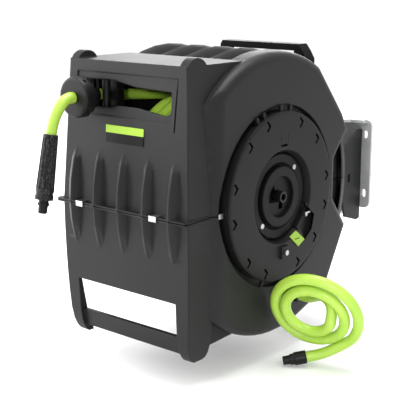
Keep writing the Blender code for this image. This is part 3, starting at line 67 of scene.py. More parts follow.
# Camera
CAMERA_PLACE = (0.9696, -1.5045, 0.3302)
CAMERA_AIM = (-0.6326, 0.7417, -0.2229)
CAMERA_LENS = 90.58
SENSOR_WIDTH = 36.0

# Lights: place, width and height of a soft box, watts
SOFTBOXES = {
    "key": ((-1.5, -1.7, 0.75), 2.0, 1.6, 42),
    "top": ((0.0, -0.3, 1.9), 1.2, 1.2, 45),
    "rear": ((-1.3, 1.7, 0.95), 1.6, 0.8, 22),
    "left": ((-2.2, -0.5, 0.5), 0.8, 1.2, 26),
}
SOFTBOX_AIM = (0.0, -0.30, 0.0)
# Narrow lights: place, aim, cone in degrees, watts
SPOTS = {
    "window": ((0.75, -1.62, 0.42), (0.030, -0.50, 0.158), 5.0, 90),
    "loop": ((1.3, -1.5, 0.35), (0.205, -0.345, -0.155), 9.0, 40),
}
BACKDROP_STRENGTH = 1.12
FLOOR_WIDTH, FLOOR_DROP = 14, 0.002

# Hose
HOSE_D = 0.016
HOSE_PITCH = 0.0182
HOSE_TURNS = 7
LAYER_RADII = (0.134, 0.118, 0.102)
WINDING_STEPS = 96
RUN_POINTS, TAIL_POINTS, LEAD_POINTS = 30, 40, 260
CARRIAGE_REST_X = -0.065
GUIDE_Z = 0.149
ROLLER_Y = -0.1685
STOP_FRONT_Y = -0.2195
NECK_START_Y, NECK_END_Y = -0.1880, -0.1748
NECK_BORE_R, NECK_R = HOSE_D / 2 + 0.0002, HOSE_D / 2 + 0.0022
# The free end's route in Y and Z
TAIL_ROUTE = (
    (-0.2165, 0.1490),
    (-0.2240, 0.1488),
    (-0.2335, 0.1450),
    (-0.2455, 0.1330),
    (-0.2540, 0.1180),
    (-0.2590, 0.1010),
    (-0.2620, 0.0850),
)
TAIL_IN_SLEEVE = 0.020

# Lead-in hose, as in the CAD
INLET_Y, INLET_Z = 0.036, -0.156
INLET_NUT_END_X = 0.147
LOOP_R, LOOP_SHRINK = 0.0706, 0.0181
LOOP_CENTRE = (0.198, -0.002, -0.160)
LOOP_DRIFT = (-0.0013, 0.0007, 0.0039)
LOOP_FACES = (15, -24.6)
LOOP_START, LOOP_STOP = 2.2, 0.1
LOOP_STEPS = 24
LEAD_ENTRY = ((0.188, 0.027, -0.146), (0.208, 0.015, -0.1435), (0.223, 0.005, -0.152))
LEAD_LEAVE = ((0.2043, 0.0125, -0.2275),)
LEAD_END = (0.186, -0.002, -0.233)

# Right side cover, as in the CAD
COVER_R, COVER_WALL, COVER_FACE_X = 0.125, 0.0035, 0.138
COVER_STEPS = 144
LEDGE_X = 0.1185
AXLE_R = 0.0085
HUB_RECESS_R = 0.0700
HUB_SEAT_R, HUB_SEAT_X = 0.0640, 0.1215
HUB_RING_FACE_X = 0.1295
POCKET_FLOOR_X = 0.1295
POCKET_SIDES = ((0.0592, -0.0210), (0.0809, -0.0404), (0.0750, -0.0620), (0.0570, -0.0760))
POCKET_ANGLES = (-51, -20)
LATCH_PLACE, LATCH_SIZE = (0.002, -0.083), (0.008, 0.009)
SLOT_PLACE, SLOT_SIZE = (0.0, 0.076), (0.0075, 0.0017)
CHEVRON_R = 0.1135
CHEVRON_ANGLES = (8, 42, 68, 109, 133, 165, 190, 226, 250, 291, 318, 345)
CHEVRON = (
    (-0.0064, 0.0072),
    (-0.0020, 0.0078),
    (0.0048, 0.0),
    (-0.0020, -0.0078),
    (-0.0064, -0.0072),
    (-0.0002, 0.0),
)
TAB_R, TAB_SIZE = 0.1288, (0.0026, 0.0052)
TAB_ANGLES = (116, 109, 91, 81, 251)
# Fine grooves in the cover's face: middle, half width, half height, depth
COVER_LINES = (
    ((-0.0076, -0.083), 0.0007, 0.0098, 0.0012),
    ((0.001, -0.0730), 0.0088, 0.0006, 0.0012),
    ((-0.0085, 0.0855), 0.0004, 0.008, 0.0006),
    ((0.0085, 0.0855), 0.0004, 0.008, 0.0006),
)
VALVE_PLACE, VALVE_R = (0.0672, -0.0385), 0.0033
VALVE_BAR_PLACE, VALVE_BAR_SIZE = (0.0676, -0.0353), (0.0068, 0.0015)

# Bend restrictor, as in the CAD
RESTRICTOR_TOP_R, RESTRICTOR_END_R = 0.0104, 0.0128
RESTRICTOR_LENGTH = 0.090
RESTRICTOR_STEPS = 96
OVER_HOSE = 0.018
FITTING_R = 0.0070
FLUTES, FLUTE_R, FLUTE_OUT = 10, 0.0026, 0.0011
FLUTE_START, FLUTE_END = 0.0050, 0.0740

# Dark lines and places: the casing's parting line, painted shade in its slit and notch and in the
# cover's notches, and print on the tag and the label
SEAM_Z, SEAM_HALF = 0.003, 0.0006
# Where the slit beside the hose's opening is painted as shade
SLIT_TOP, SLIT_END = (0.0958, 0.192), (0.0916, 0.121)
SLIT_HALF = 0.0011
FRONT_Y = (-0.512, -0.508)
# Where the notch at the casing's back is painted as shade, and how dark
NOTCH_MIDDLE, NOTCH_HALF = (0.1150, -0.1745, 0.018), (0.0128, 0.0275, 0.066)
NOTCH_SOFT, NOTCH_SHADE_DEPTH = (0.0004, 0.0020, 0.006), 0.9
# Where the floors of the cover's notches are painted as shade
CHEVRON_FLOOR_X, CHEVRON_BAND_R, CHEVRON_BAND_HALF = 0.1354, 0.098, 0.0235
TAG_MIDDLE, TAG_LINE = (0.035, -0.069), (0.0058, 0.0006)
LABEL_SPLIT_Z = 0.1095

# Angles past which an edge is sharp, in degrees
SMOOTH, CASING_SMOOTH, SLEEVE_SMOOTH = 32, 50, 40


# Materials


class Field:
    """A shader socket that takes part in Python arithmetic."""

    def __init__(self, paint, socket):
        self.paint, self.socket = paint, socket

    def maths(self, operation, *values):
        return self.paint.add("Math", {"operation": operation}, dict(enumerate(values)))

    def __add__(self, other):
        return self.maths("ADD", self, other)

    def __radd__(self, other):
        return self.maths("ADD", other, self)

    def __sub__(self, other):
        return self.maths("SUBTRACT", self, other)

    def __rsub__(self, other):
        return self.maths("SUBTRACT", other, self)

    def __mul__(self, other):
        return self.maths("MULTIPLY", self, other)

    def __rmul__(self, other):
        return self.maths("MULTIPLY", other, self)

    def __pow__(self, other):
        return self.maths("POWER", self, other)

    def largest(self, other):
        return self.maths("MAXIMUM", self, other)

    def near(self, centre, half, soft=0.0003):
        """1 within half of the centre, and 0 further off."""
        away = self.maths("ABSOLUTE", self - centre)
        return 1 - away.between(half, half + soft)

    def between(self, low, high):
        """0 below low, 1 above high, and a smooth step in between."""
        settings = {"interpolation_type": "SMOOTHSTEP", "clamp": True}
        values = {0: self, 1: low, 2: high, 3: 0.0, 4: 1.0}
        return self.paint.add("MapRange", settings, values)


class Paint:
    """One material, with its nodes added by name."""

    def __init__(self, name, roughness, metallic=0.0, **constants):
        self.material = bpy.data.materials.new(name)
        self.material.use_nodes = True
        self.tree = self.material.node_tree
        self.shader = self.tree.nodes["Principled BSDF"]
        self.set("Roughness", roughness)
        self.set("Metallic", metallic)
        for socket, value in constants.items():
            self.set(socket.replace("_", " "), value)
        self.place = self.add("TexCoord", {}, {}, "Object")

    def add(self, kind, settings, values, out=0):
        node = self.tree.nodes.new("ShaderNode" + kind)
        for name, value in settings.items():
            setattr(node, name, value)
        for key, value in values.items():
            self.join(node.inputs[key], value)
        return Field(self, node.outputs[out])

    def join(self, socket, value):
        if isinstance(value, Field):
            self.tree.links.new(value.socket, socket)
        elif socket.type == "RGBA" and len(value) == 3:
            socket.default_value = (*value, 1.0)
        else:
            socket.default_value = value

    def set(self, socket, value):
        self.join(self.shader.inputs[socket], value)

    def axes(self):
        return [self.add("SeparateXYZ", {}, {0: self.place}, axis) for axis in "XYZ"]

    def noise(self, scale, detail=2.0, stretch=None):
        place = self.place
        if stretch:
            place = self.add("Mapping", {}, {"Vector": place, "Scale": stretch})
        return self.add("TexNoise", {}, {"Vector": place, "Scale": scale, "Detail": detail})

    def mix(self, share, low, high):
        settings = {"data_type": "RGBA"}
        return self.add("Mix", settings, {0: share, 6: low, 7: high}, 2)

    def rounded(self, radius):
        return self.add("Bevel", {"samples": 6}, {"Radius": radius})

    def worn_edge(self, radius, low, high):
        """1 along a piece's outer and inner edges, and 0 on its faces."""
        true = self.add("NewGeometry", {}, {}, "True Normal")
        sides = {0: self.rounded(radius), 1: true}
        match = self.add("VectorMath", {"operation": "DOT_PRODUCT"}, sides, "Value")
        return (1 - match).between(low, high)

    def bump(self, height, distance, edge=None):
        """Relief of that height in metres, over edges rounded to that radius."""
        values = {"Height": height, "Distance": distance}
        if edge:
            values["Normal"] = self.rounded(edge)
        self.set("Normal", self.add("Bump", {}, values))


def casing_seam_and_painted_shade(paint):
    """The casing's parting line, and painted shade in the slit beside the hose's opening and in
    the notch at the back.
    """
    x, y, z = paint.axes()
    seam = z.near(SEAM_Z, SEAM_HALF)
    lean = (SLIT_TOP[0] - SLIT_END[0]) / (SLIT_TOP[1] - SLIT_END[1])
    middle = (z - SLIT_END[1]) * lean + SLIT_END[0]
    height = z.near((SLIT_TOP[1] + SLIT_END[1]) / 2, (SLIT_TOP[1] - SLIT_END[1]) / 2, 0.0008)
    front = 1 - y.between(*FRONT_Y)
    # Painted shade along the slit
    slit = (x - middle).near(0.0, SLIT_HALF, 0.0005) * height * front
    # Painted shade in the notch at the back
    sides = zip((x, y, z), NOTCH_MIDDLE, NOTCH_HALF, NOTCH_SOFT)
    across, along, up = (axis.near(centre, half, soft) for axis, centre, half, soft in sides)
    return seam.largest(slit).largest(across * along * up * NOTCH_SHADE_DEPTH)


def cover_notch_painted_shade(paint):
    """Painted shade on the floors of the notches in the side cover's face, in black that reflects
    nothing.
    """
    x, y, z = paint.axes()
    off_y, off_z = y - REEL.y, z - REEL.z
    radius = (off_y * off_y + off_z * off_z) ** 0.5
    return x.near(CHEVRON_FLOOR_X, 0.0009) * radius.near(CHEVRON_BAND_R, CHEVRON_BAND_HALF)


def tag_line(paint):
    """The short dark line across the lime tag."""
    y, z = paint.axes()[1:]
    along, off = y - (REEL.y + TAG_MIDDLE[0]), z - (REEL.z + TAG_MIDDLE[1])
    return off.near(0.0, TAG_LINE[1]) * along.near(0.0, TAG_LINE[0], 0.0005)


def label_foot(paint):
    """The label's plain dark lower part."""
    return 1 - paint.axes()[2].between(LABEL_SPLIT_Z - 0.0002, LABEL_SPLIT_Z + 0.0002)


def moulded_plastic(
    name,
    tones,
    roughness,
    grain=0.00008,
    wear=0.5,
    edge=0.0009,
    shade=None,
    shade_depth=1.0,
    shine=0.20,
):
    """Moulded plastic with a fine stipple, cloudy tone and paler, rubbed edges.

    shade gives the places painted black, where nothing is reflected: painted shade where no light
    reaches, and dark print on the label and the tag.
    """
    paint = Paint(name, roughness, Specular_IOR_Level=shine)
    dark, light = tones
    cloud = paint.noise(7.0, 3.0)
    fleck = paint.noise(420.0, 2.0)
    stipple = paint.noise(1500.0, 1.0)
    tone = cloud * 0.65 + fleck * 0.35
    body = paint.mix(tone.between(0.3, 0.7), dark, light)
    rub = paint.worn_edge(0.0012, 0.03, 0.35) * paint.noise(60.0, 3.0).between(0.42, 0.7)
    pale = tuple(min(1.0, v * 2.2 + 0.01) for v in light)
    coat = paint.mix(rub * wear, body, pale)
    # Painted shade, and print, in black that reflects nothing
    if shade:
        painted_shade_and_print = shade(paint)
        coat = paint.mix(painted_shade_and_print, coat, (0.0012, 0.0012, 0.0013))
        paint.set("Metallic", painted_shade_and_print * shade_depth)
    paint.set("Base Color", coat)
    paint.set("Roughness", roughness - 0.07 + 0.10 * cloud + 0.06 * fleck)
    paint.bump(stipple, grain, edge)
    return paint.material


def hose_skin(name, tones, roughness):
    """Soft hose cover: even colour, a slight bloom, and shallow draw lines."""
    paint = Paint(name, roughness, Specular_IOR_Level=0.5, Coat_Roughness=0.25)
    cloud = paint.noise(22.0, 3.0)
    speck = paint.noise(300.0, 3.0)
    paint.set("Base Color", paint.mix((cloud * 0.7 + speck * 0.3).between(0.35, 0.72), *tones))
    paint.set("Roughness", roughness - 0.05 + 0.12 * speck)
    paint.bump(paint.noise(650.0, 2.0), 0.00010)
    return paint.material


def plated_steel(name, tones, roughness, metallic=0.95):
    """Plated steel: a cloudy passivated tone with fine lines drawn along one way."""
    paint = Paint(name, roughness, metallic)
    cloud = paint.noise(38.0, 4.0)
    lines = paint.noise(240.0, 3.0, (1, 1, 14))
    paint.set("Base Color", paint.mix((cloud * 0.6 + lines * 0.4).between(0.32, 0.68), *tones))
    paint.set("Roughness", roughness - 0.08 + 0.16 * lines + 0.08 * cloud)
    paint.bump(lines, 0.00004, 0.0005)
    return paint.material


def rubber(name, colour, roughness, speck=None):
    """Matt rubber with a little dust, and paler specks painted as highlights on a knurl, if speck
    gives their colour.
    """
    paint = Paint(name, roughness, Specular_IOR_Level=0.18)
    dust = paint.noise(90.0, 4.0)
    dull = tuple(v * 1.9 + 0.006 for v in colour)
    coat = paint.mix(dust.between(0.45, 0.8), colour, dull)
    # Painted highlights: paler specks for light on a knurl
    if speck:
        coat = paint.mix(paint.noise(560.0, 1.0, (1, 1, 0.6)).between(0.52, 0.62), coat, speck)
    paint.set("Base Color", coat)
    paint.set("Roughness", roughness - 0.06 + 0.12 * dust)
    paint.bump(paint.noise(900.0, 2.0), 0.00010, 0.0005)
    return paint.material


CHARCOAL_TONES = ((0.0085, 0.0085, 0.009), (0.0125, 0.0125, 0.013))
COVER_TONES = ((0.0062, 0.0062, 0.0066), (0.0092, 0.0092, 0.0096))
HUB_TONES = ((0.0044, 0.0044, 0.0048), (0.0068, 0.0068, 0.0072))
BLACK_TONES = ((0.0030, 0.0030, 0.0033), (0.0055, 0.0055, 0.0058))
# The handle's own black, darkened further as painted shade for its front in shade
HANDLE_SHADED_TONES = ((0.0014, 0.0014, 0.0015), (0.0022, 0.0022, 0.0024))
LIME_PLATE_TONES = ((0.24, 0.40, 0.035), (0.28, 0.45, 0.045))
LIME_HOSE_TONES = ((0.37, 0.56, 0.066), (0.30, 0.51, 0.046))
ZINC_TONES = ((0.42, 0.425, 0.43), (0.54, 0.545, 0.55))
BRIGHT_TONES = ((0.34, 0.34, 0.35), (0.50, 0.50, 0.51))
SPRING_TONES = ((0.12, 0.12, 0.14), (0.20, 0.20, 0.22))
BRASS_TONES = ((0.55, 0.38, 0.14), (0.70, 0.50, 0.22))

FINISHES = {
    "charcoal_plastic": moulded_plastic("charcoal_plastic", CHARCOAL_TONES, 0.46),
    "black_plastic": moulded_plastic(
        "black_plastic", BLACK_TONES, 0.40, grain=0.00005, wear=0.35
    ),
    "lime_hose": hose_skin("lime_hose", LIME_HOSE_TONES, 0.34),
    "lime_plate": moulded_plastic("lime_plate", LIME_PLATE_TONES, 0.38, grain=0.00003, wear=0.1),
    "zinc_steel": plated_steel("zinc_steel", ZINC_TONES, 0.45, metallic=0.30),
    "bright_steel": plated_steel("bright_steel", BRIGHT_TONES, 0.26),
    "spring_steel": plated_steel("spring_steel", SPRING_TONES, 0.34),
    "brass": plated_steel("brass", BRASS_TONES, 0.26),
    "black_rubber": rubber("black_rubber", (0.0060, 0.0060, 0.0065), 0.56),
}
# The casing's finish holds painted shade in its slit and its notch.
CASING = moulded_plastic("casing_plastic", CHARCOAL_TONES, 0.46, edge=0.0030, shade=casing_seam_and_painted_shade)
# The cover's finish holds painted shade on the floors of its notches.
COVER = moulded_plastic(
    "cover_plastic", COVER_TONES, 0.46, edge=0.0012, shade=cover_notch_painted_shade, shine=0.16
)
HUB = moulded_plastic("hub_plastic", HUB_TONES, 0.48, shine=0.12)
# Painted shade: the whole handle darker than the black plastic
HANDLE_SHADED = moulded_plastic("handle_plastic_shaded", HANDLE_SHADED_TONES, 0.42, shine=0.07)
LABEL = moulded_plastic(
    "label_film",
    LIME_PLATE_TONES,
    0.34,
    grain=0.00002,
    wear=0.1,
    edge=0.0004,
    shade=label_foot,
    shade_depth=0.3,
)
TAG = moulded_plastic(
    "lime_tag", LIME_PLATE_TONES, 0.38, grain=0.00003, wear=0.1, shade=tag_line
)
# The sleeve's paler specks are painted highlights on a knurl.
SLEEVE = rubber("sleeve_rubber", (0.0050, 0.0050, 0.0054), 0.50, speck=(0.040, 0.040, 0.041))
NODE_FINISHES = {
    "upper_casing": CASING,
    "lower_casing": CASING,
    "right_side_cover": COVER,
    "hub_ring": HUB,
    "hub_cap": HUB,
    "carry_handle": HANDLE_SHADED,
    "label_plate": LABEL,
    "lime_tag": TAG,
    "bend_restrictor": SLEEVE,
}
NODE_SLOTS = {part["node"]: part["material_slot"] for part in frame["record"]["subparts"]}
NODE_BODIES = {
    node: body
    for body, nodes in frame["record"]["behaviour"]["bodies"].items()
    for node in nodes
}


# Modelling


def only(piece):
    """Makes a piece the one that is selected."""
    bpy.ops.object.select_all(action="DESELECT")
    bpy.context.view_layer.objects.active = piece
    piece.select_set(True)


def settle(piece, body, slot, *nodes):
    """Gives a piece its finish and its body, and hides the CAD nodes it stands for."""
    finish = NODE_FINISHES.get(nodes[0], FINISHES[slot]) if nodes else FINISHES[slot]
    piece.data.materials.clear()
    piece.data.materials.append(finish)
    if nodes:
        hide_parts(*nodes)
    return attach(piece, body)


def smooth(piece, angle=SMOOTH):
    """Smooth shading over curves, and sharp edges where faces meet at more than an angle."""
    only(piece)
    bpy.ops.object.shade_smooth_by_angle(angle=math.radians(angle))
    weigh = piece.modifiers.new("weighted_normals", "WEIGHTED_NORMAL")
    weigh.keep_sharp = True
    weigh.weight = 90
    bpy.ops.object.modifier_apply(modifier=weigh.name)
    return piece


def dress(node, name, angle):
    """A merged copy of a CAD solid with smooth-shaded curves, in its place."""
    piece = bpy.data.objects.new(name, frame["nodes"][node].data.copy())
    bpy.context.scene.collection.objects.link(piece)
    if "custom_normal" in piece.data.attributes:
        piece.data.attributes.remove(piece.data.attributes["custom_normal"])
    only(piece)
    bpy.ops.object.mode_set(mode="EDIT")
    bpy.ops.mesh.select_all(action="SELECT")
    bpy.ops.mesh.remove_doubles(threshold=1e-6)
    bpy.ops.mesh.dissolve_limited(angle_limit=math.radians(0.4))
    bpy.ops.object.mode_set(mode="OBJECT")
    smooth(piece, angle)
    return settle(piece, NODE_BODIES[node], NODE_SLOTS[node], node)


def close_up():
    """Merges the mesh in edit mode, turns its faces outwards and leaves edit mode."""
    bpy.ops.mesh.select_all(action="SELECT")
    bpy.ops.mesh.remove_doubles(threshold=1e-6)
    bpy.ops.mesh.normals_make_consistent(inside=False)
    bpy.ops.object.mode_set(mode="OBJECT")


def draw(name, places):
    """A flat face whose outline is one vertex extruded from place to place, in edit mode."""
    bpy.ops.object.select_all(action="DESELECT")
    bpy.ops.mesh.primitive_plane_add(size=0.001, location=(0, 0, 0))
    piece = bpy.context.active_object
    piece.name = name
    bpy.ops.object.mode_set(mode="EDIT")
    bpy.ops.mesh.merge(type="CENTER")
    bpy.ops.transform.translate(value=places[0])
    for here, then in zip(places, places[1:]):
        bpy.ops.mesh.extrude_region_move(TRANSFORM_OT_translate={"value": then - here})
    bpy.ops.mesh.select_all(action="SELECT")
    bpy.ops.mesh.edge_face_add()
    return piece


def turned(name, profile, steps):
    """A ring turned round the drum's axis from a closed profile of places along it and radii."""
    piece = draw(name, [REEL + Vector((x, radius, 0)) for x, radius in profile])
    bpy.ops.mesh.delete(type="ONLY_FACE")
    bpy.ops.mesh.select_all(action="SELECT")
    bpy.ops.mesh.spin(steps=steps, angle=math.radians(360), center=REEL, axis=(1, 0, 0))
    close_up()
    return piece


def prism(name, outline, low, high):
    """A solid with that outline in Y and Z, from low to high in X."""
    piece = draw(name, [REEL + Vector((low, y, z)) for y, z in outline])
    bpy.ops.mesh.extrude_region_move(TRANSFORM_OT_translate={"value": (high - low, 0, 0)})
    close_up()
    return piece


def rod(name, radius, low, high, steps, middle=(0.0, 0.0)):
    """A round solid along X, round a middle in Y and Z."""
    bpy.ops.object.select_all(action="DESELECT")
    bpy.ops.mesh.primitive_cylinder_add(
        vertices=steps,
        radius=radius,
        depth=high - low,
        location=REEL + Vector(((low + high) / 2, *middle)),
        rotation=(0, math.radians(90), 0),
    )
    bpy.ops.object.transform_apply()
    piece = bpy.context.active_object
    piece.name = name
    return piece


def change(piece, operation, tool):
    """Joins a tool to a piece, takes it away or keeps what both share, and deletes it."""
    only(piece)
    boolean = piece.modifiers.new("change", "BOOLEAN")
    boolean.operation = operation
    boolean.solver = "EXACT"
    boolean.object = tool
    bpy.ops.object.modifier_apply(modifier=boolean.name)
    bpy.data.objects.remove(tool)


def shape(piece, operation, outline, low, high):
    change(piece, operation, prism("tool", outline, low, high))


def box_outline(centre, across, up, turn=0.0):
    """A rectangle's corners round a centre, turned by an angle."""
    spin = Matrix.Rotation(turn, 2)
    corners = ((-across, -up), (across, -up), (across, up), (-across, up))
    return [tuple(Vector(centre) + spin @ Vector(corner)) for corner in corners]


def grown(outline, by):
    """An outline moved outwards by a distance, for one whose corners go clockwise."""
    places = [Vector(corner) for corner in outline]
    wider = []
    for last, here, then in zip(places[-1:] + places[:-1], places, places[1:] + places[:1]):
        before, after = (here - last).normalized(), (then - here).normalized()
        out = (Vector((-before.y, before.x)) + Vector((-after.y, after.x))).normalized()
        wider.append(here + out * by / max(0.4, out.dot(Vector((-before.y, before.x)))))
    return [tuple(place) for place in wider]


# Hose


def hose(name, points, diameter, body, slot, *nodes):
    """A round hose along points, as a curve with closed ends."""
    curve = bpy.data.curves.new(name, "CURVE")
    curve.dimensions = "3D"
    curve.bevel_depth = diameter / 2
    curve.bevel_resolution = 7
    curve.use_fill_caps = True
    spline = curve.splines.new("POLY")
    spline.points.add(len(points) - 1)
    for point, place in zip(spline.points, points):
        point.co = (*(Vector(place) + REEL), 1.0)
    spline.use_smooth = True
    piece = bpy.data.objects.new(name, curve)
    bpy.context.scene.collection.objects.link(piece)
    return settle(piece, body, slot, *nodes)


def part_way(first, last, start, end, at):
    share = (at - start) / (end - start)
    return first * (1 - share) + last * share


def smooth_route(controls, count):
    """Points at even spacing along a smooth curve through the route's own points."""
    places = np.array(controls, float)
    spans = np.sqrt(np.linalg.norm(np.diff(places, axis=0), axis=1))
    knots = np.concatenate([[0], np.cumsum(spans)])
    padded = np.vstack([2 * places[0] - places[1], places, 2 * places[-1] - places[-2]])
    gaps = np.diff(knots)
    times = np.concatenate([[-gaps[0]], knots, [knots[-1] + gaps[-1]]])
    dense = []
    for i in range(len(places) - 1):
        p, t = padded[i : i + 4], times[i : i + 4]
        for s in np.linspace(t[1], t[2], 40, endpoint=i == len(places) - 2):
            a = [part_way(p[k], p[k + 1], t[k], t[k + 1], s) for k in range(3)]
            b = [part_way(a[k], a[k + 1], t[k], t[k + 2], s) for k in range(2)]
            dense.append(part_way(b[0], b[1], t[1], t[2], s))
    dense = np.array(dense)
    run = np.concatenate([[0], np.cumsum(np.linalg.norm(np.diff(dense, axis=0), axis=1))])
    even = np.linspace(0, run[-1], count)
    return [tuple(float(np.interp(s, run, dense[:, k])) for k in range(3)) for s in even]


def lay_on_angle():
    """Where the hose leaves the drum's top for the guide, in degrees."""
    reach = math.hypot(ROLLER_Y, GUIDE_Z)
    touch = math.atan2(GUIDE_Z, ROLLER_Y) - math.acos(LAYER_RADII[0] / reach)
    return math.degrees(touch)


def winding():
    """Three layers of hose on the drum, each a closed row of turns."""
    start = lay_on_angle()
    names = ("hose_outer_layer", "hose_middle_layer", "hose_inner_layer")
    nodes = (["hose_winding"], ["hose_inner_layers"], [])
    for layer, radius in enumerate(LAYER_RADII):
        points = []
        hand = -1 if layer % 2 == 0 else 1
        for i in range(HOSE_TURNS * WINDING_STEPS + 1):
            turn = i / WINDING_STEPS
            angle = math.radians(start + hand * 360 * turn)
            x = CARRIAGE_REST_X + HOSE_PITCH * turn
            points.append((x, radius * math.cos(angle), radius * math.sin(angle)))
        hose(names[layer], points, HOSE_D, "drum", "lime_hose", *nodes[layer])


def strand():
    """The run of hose from the drum's top through the guide to the stop."""
    angle = math.radians(lay_on_angle())
    radius = LAYER_RADII[0]
    x = CARRIAGE_REST_X
    start = Vector((x, radius * math.cos(angle), radius * math.sin(angle)))
    guide = Vector((x, ROLLER_Y, GUIDE_Z))
    along = (guide - start).normalized()
    start += along * (HOSE_D / 2 * math.sin(math.pi / 24) + SEAT_GAP)
    route = [start, start.lerp(guide, 0.5), guide, (x, STOP_FRONT_Y + 0.001, GUIDE_Z)]
    points = smooth_route([tuple(place) for place in route], RUN_POINTS)
    hose("hose_run", points, HOSE_D, "carriage", "lime_hose", "hose_strand")


def stop_neck():
    """Carries the stop's neck on to the guide's rollers, half with each half of the stop."""
    place = Matrix.Translation(REEL + Vector((CARRIAGE_REST_X, 0, GUIDE_Z)))
    place = place @ Matrix.Rotation(math.radians(90), 4, "Z") @ Matrix.Translation(-REEL)
    profile = [
        (NECK_START_Y, NECK_BORE_R),
        (NECK_START_Y, NECK_R),
        (NECK_END_Y, NECK_R),
        (NECK_END_Y, NECK_BORE_R),
    ]
    for half, side in (("upper", 1), ("lower", -1)):
        neck = turned("neck", profile, 48)
        neck.data.transform(place)
        room = box_outline((NECK_END_Y, GUIDE_Z + side * (0.02 + SEAT_GAP / 2)), 0.05, 0.02)
        shape(neck, "INTERSECT", room, CARRIAGE_REST_X - 0.02, CARRIAGE_REST_X + 0.02)
        piece = bpy.data.objects["hose_stop_" + half + "_dressed"]
        change(piece, "UNION", neck)
        smooth(piece)


def tail_places():
    """The free end's route, from the stop's front to the sleeve."""
    shift = STOP_FRONT_Y + SEAT_GAP - TAIL_ROUTE[0][0]
    return [Vector((CARRIAGE_REST_X, y + shift, z)) for y, z in TAIL_ROUTE]


def restrictor():
    """The fluted rubber sleeve that eases the bend between the hose and its fitting."""
    before, end = tail_places()[-2:]
    down = (end - before).normalized()
    start = end - down * OVER_HOSE + REEL
    bore = HOSE_D / 2 + 0.0006
    top, foot, length = RESTRICTOR_TOP_R, RESTRICTOR_END_R, RESTRICTOR_LENGTH
    flank = [(0.0, bore), (0.0, top - 0.0008), (0.0008, top), (0.0765, foot - 0.0001)]
    groove = [(0.0785, foot), (0.0800, foot - 0.0011), (0.0830, foot - 0.0011), (0.0842, foot)]
    mouth = [(length - 0.0008, foot), (length, foot - 0.0006)]
    seat = [(length, FITTING_R + SEAT_GAP), (0.0183, FITTING_R + SEAT_GAP), (0.0183, bore)]
    piece = turned("fluted_restrictor", flank + groove + mouth + seat, RESTRICTOR_STEPS)

    lean = Matrix.Rotation(math.atan2(foot - top, length), 4, "Z")
    out = Matrix.Translation((0, (top + foot) / 2 + FLUTE_OUT, 0))
    middle = Matrix.Translation(REEL + Vector(((FLUTE_START + FLUTE_END) / 2, 0, 0)))
    for i in range(FLUTES):
        flute = rod("flute", FLUTE_R, FLUTE_START, FLUTE_END, 20)
        around = Matrix.Rotation(2 * math.pi * i / FLUTES, 4, "X")
        flute.data.transform(middle @ around @ out @ lean @ middle.inverted())
        change(piece, "DIFFERENCE", flute)
    upright = down.to_track_quat("X", "Z").to_matrix().to_4x4()
    piece.data.transform(Matrix.Translation(start) @ upright @ Matrix.Translation(-REEL))
    settle(smooth(piece, SLEEVE_SMOOTH), "carriage", "black_rubber", "bend_restrictor")


def tail():
    """The free end of the hose, outside the stop."""
    route = tail_places()
    down = (route[-1] - route[-2]).normalized()
    route.append(route[-1] + down * TAIL_IN_SLEEVE)
    points = smooth_route(route, TAIL_POINTS)
    piece = hose("hose_free_end", points, HOSE_D, "carriage", "lime_hose", "hose_tail")


def lead_in_route():
    """Out of the elbow, round a slack spiral beside the casing, and along to its fitting."""
    azimuth, rise = (math.radians(v) for v in LOOP_FACES)
    level = Vector((math.sin(azimuth), -math.cos(azimuth), 0))
    facing = level * math.cos(rise) + Vector((0, 0, math.sin(rise)))
    across = Vector((math.cos(azimuth), math.sin(azimuth), 0))
    up = facing.cross(across)
    drift = LOOP_DRIFT[0] * across + LOOP_DRIFT[1] * up + LOOP_DRIFT[2] * facing

    def on_loop(turn):
        angle = math.radians(360 * turn - 90)
        radius = LOOP_R - LOOP_SHRINK * turn
        spoke = math.cos(angle) * across + math.sin(angle) * up
        return Vector(LOOP_CENTRE) + drift * turn + radius * spoke

    exit_place = Vector((INLET_NUT_END_X + SEAT_GAP, INLET_Y, INLET_Z))
    straight = exit_place + Vector((HOSE_D, 0, 0))
    first, last = int(LOOP_START * LOOP_STEPS), int(LOOP_STOP * LOOP_STEPS)
    coil = [on_loop((first - i) / LOOP_STEPS) for i in range(first - last)]
    entry = [
        place
        for place in map(Vector, smooth_route([exit_place, straight, *LEAD_ENTRY, *coil[:3]], 16))
        if (place - straight).length > HOSE_D / 2 and (place - exit_place).length > HOSE_D
    ]
    leave = smooth_route([*coil[-3:], *LEAD_LEAVE, LEAD_END], 9)
    rough = [exit_place, straight, *entry[:-2], *coil[1:-3], *map(Vector, leave)]
    return smooth_route([tuple(place) for place in rough], LEAD_POINTS)


def lead_in():
    points = lead_in_route()
    piece = hose("lead_in_loop", points, HOSE_D, "reel", "lime_hose", "lead_in_hose")


# Right side cover


def cover_profile():
    """The cover's section, as places along the drum's axis and radii."""
    face, wall, floor = COVER_FACE_X, COVER_WALL, HUB_SEAT_X
    seat, bush = LEDGE_X + SEAT_GAP, AXLE_R + SEAT_GAP
    return [
        (seat, COVER_R - wall),
        (seat, COVER_R),
        (face - 0.0030, COVER_R),
        (face - 0.0014, COVER_R - 0.0006),
        (face - 0.0004, COVER_R - 0.0020),
        (face, COVER_R - 0.0040),
        # The hub's recess and the bush round the axle
        (face, HUB_RECESS_R + 0.0008),
        (face - 0.0008, HUB_RECESS_R - 0.0006),
        (HUB_RING_FACE_X, HUB_SEAT_R + 0.002),
        (floor, HUB_SEAT_R),
        (floor, bush),
        (floor - 0.0065, bush),
        # Back along the inside
        (floor - 0.0065, bush + 0.005),
        (floor - wall, bush + 0.008),
        (floor - wall, HUB_SEAT_R + wall),
        (face - wall, HUB_RECESS_R + wall),
        (face - wall, COVER_R - wall),
    ]


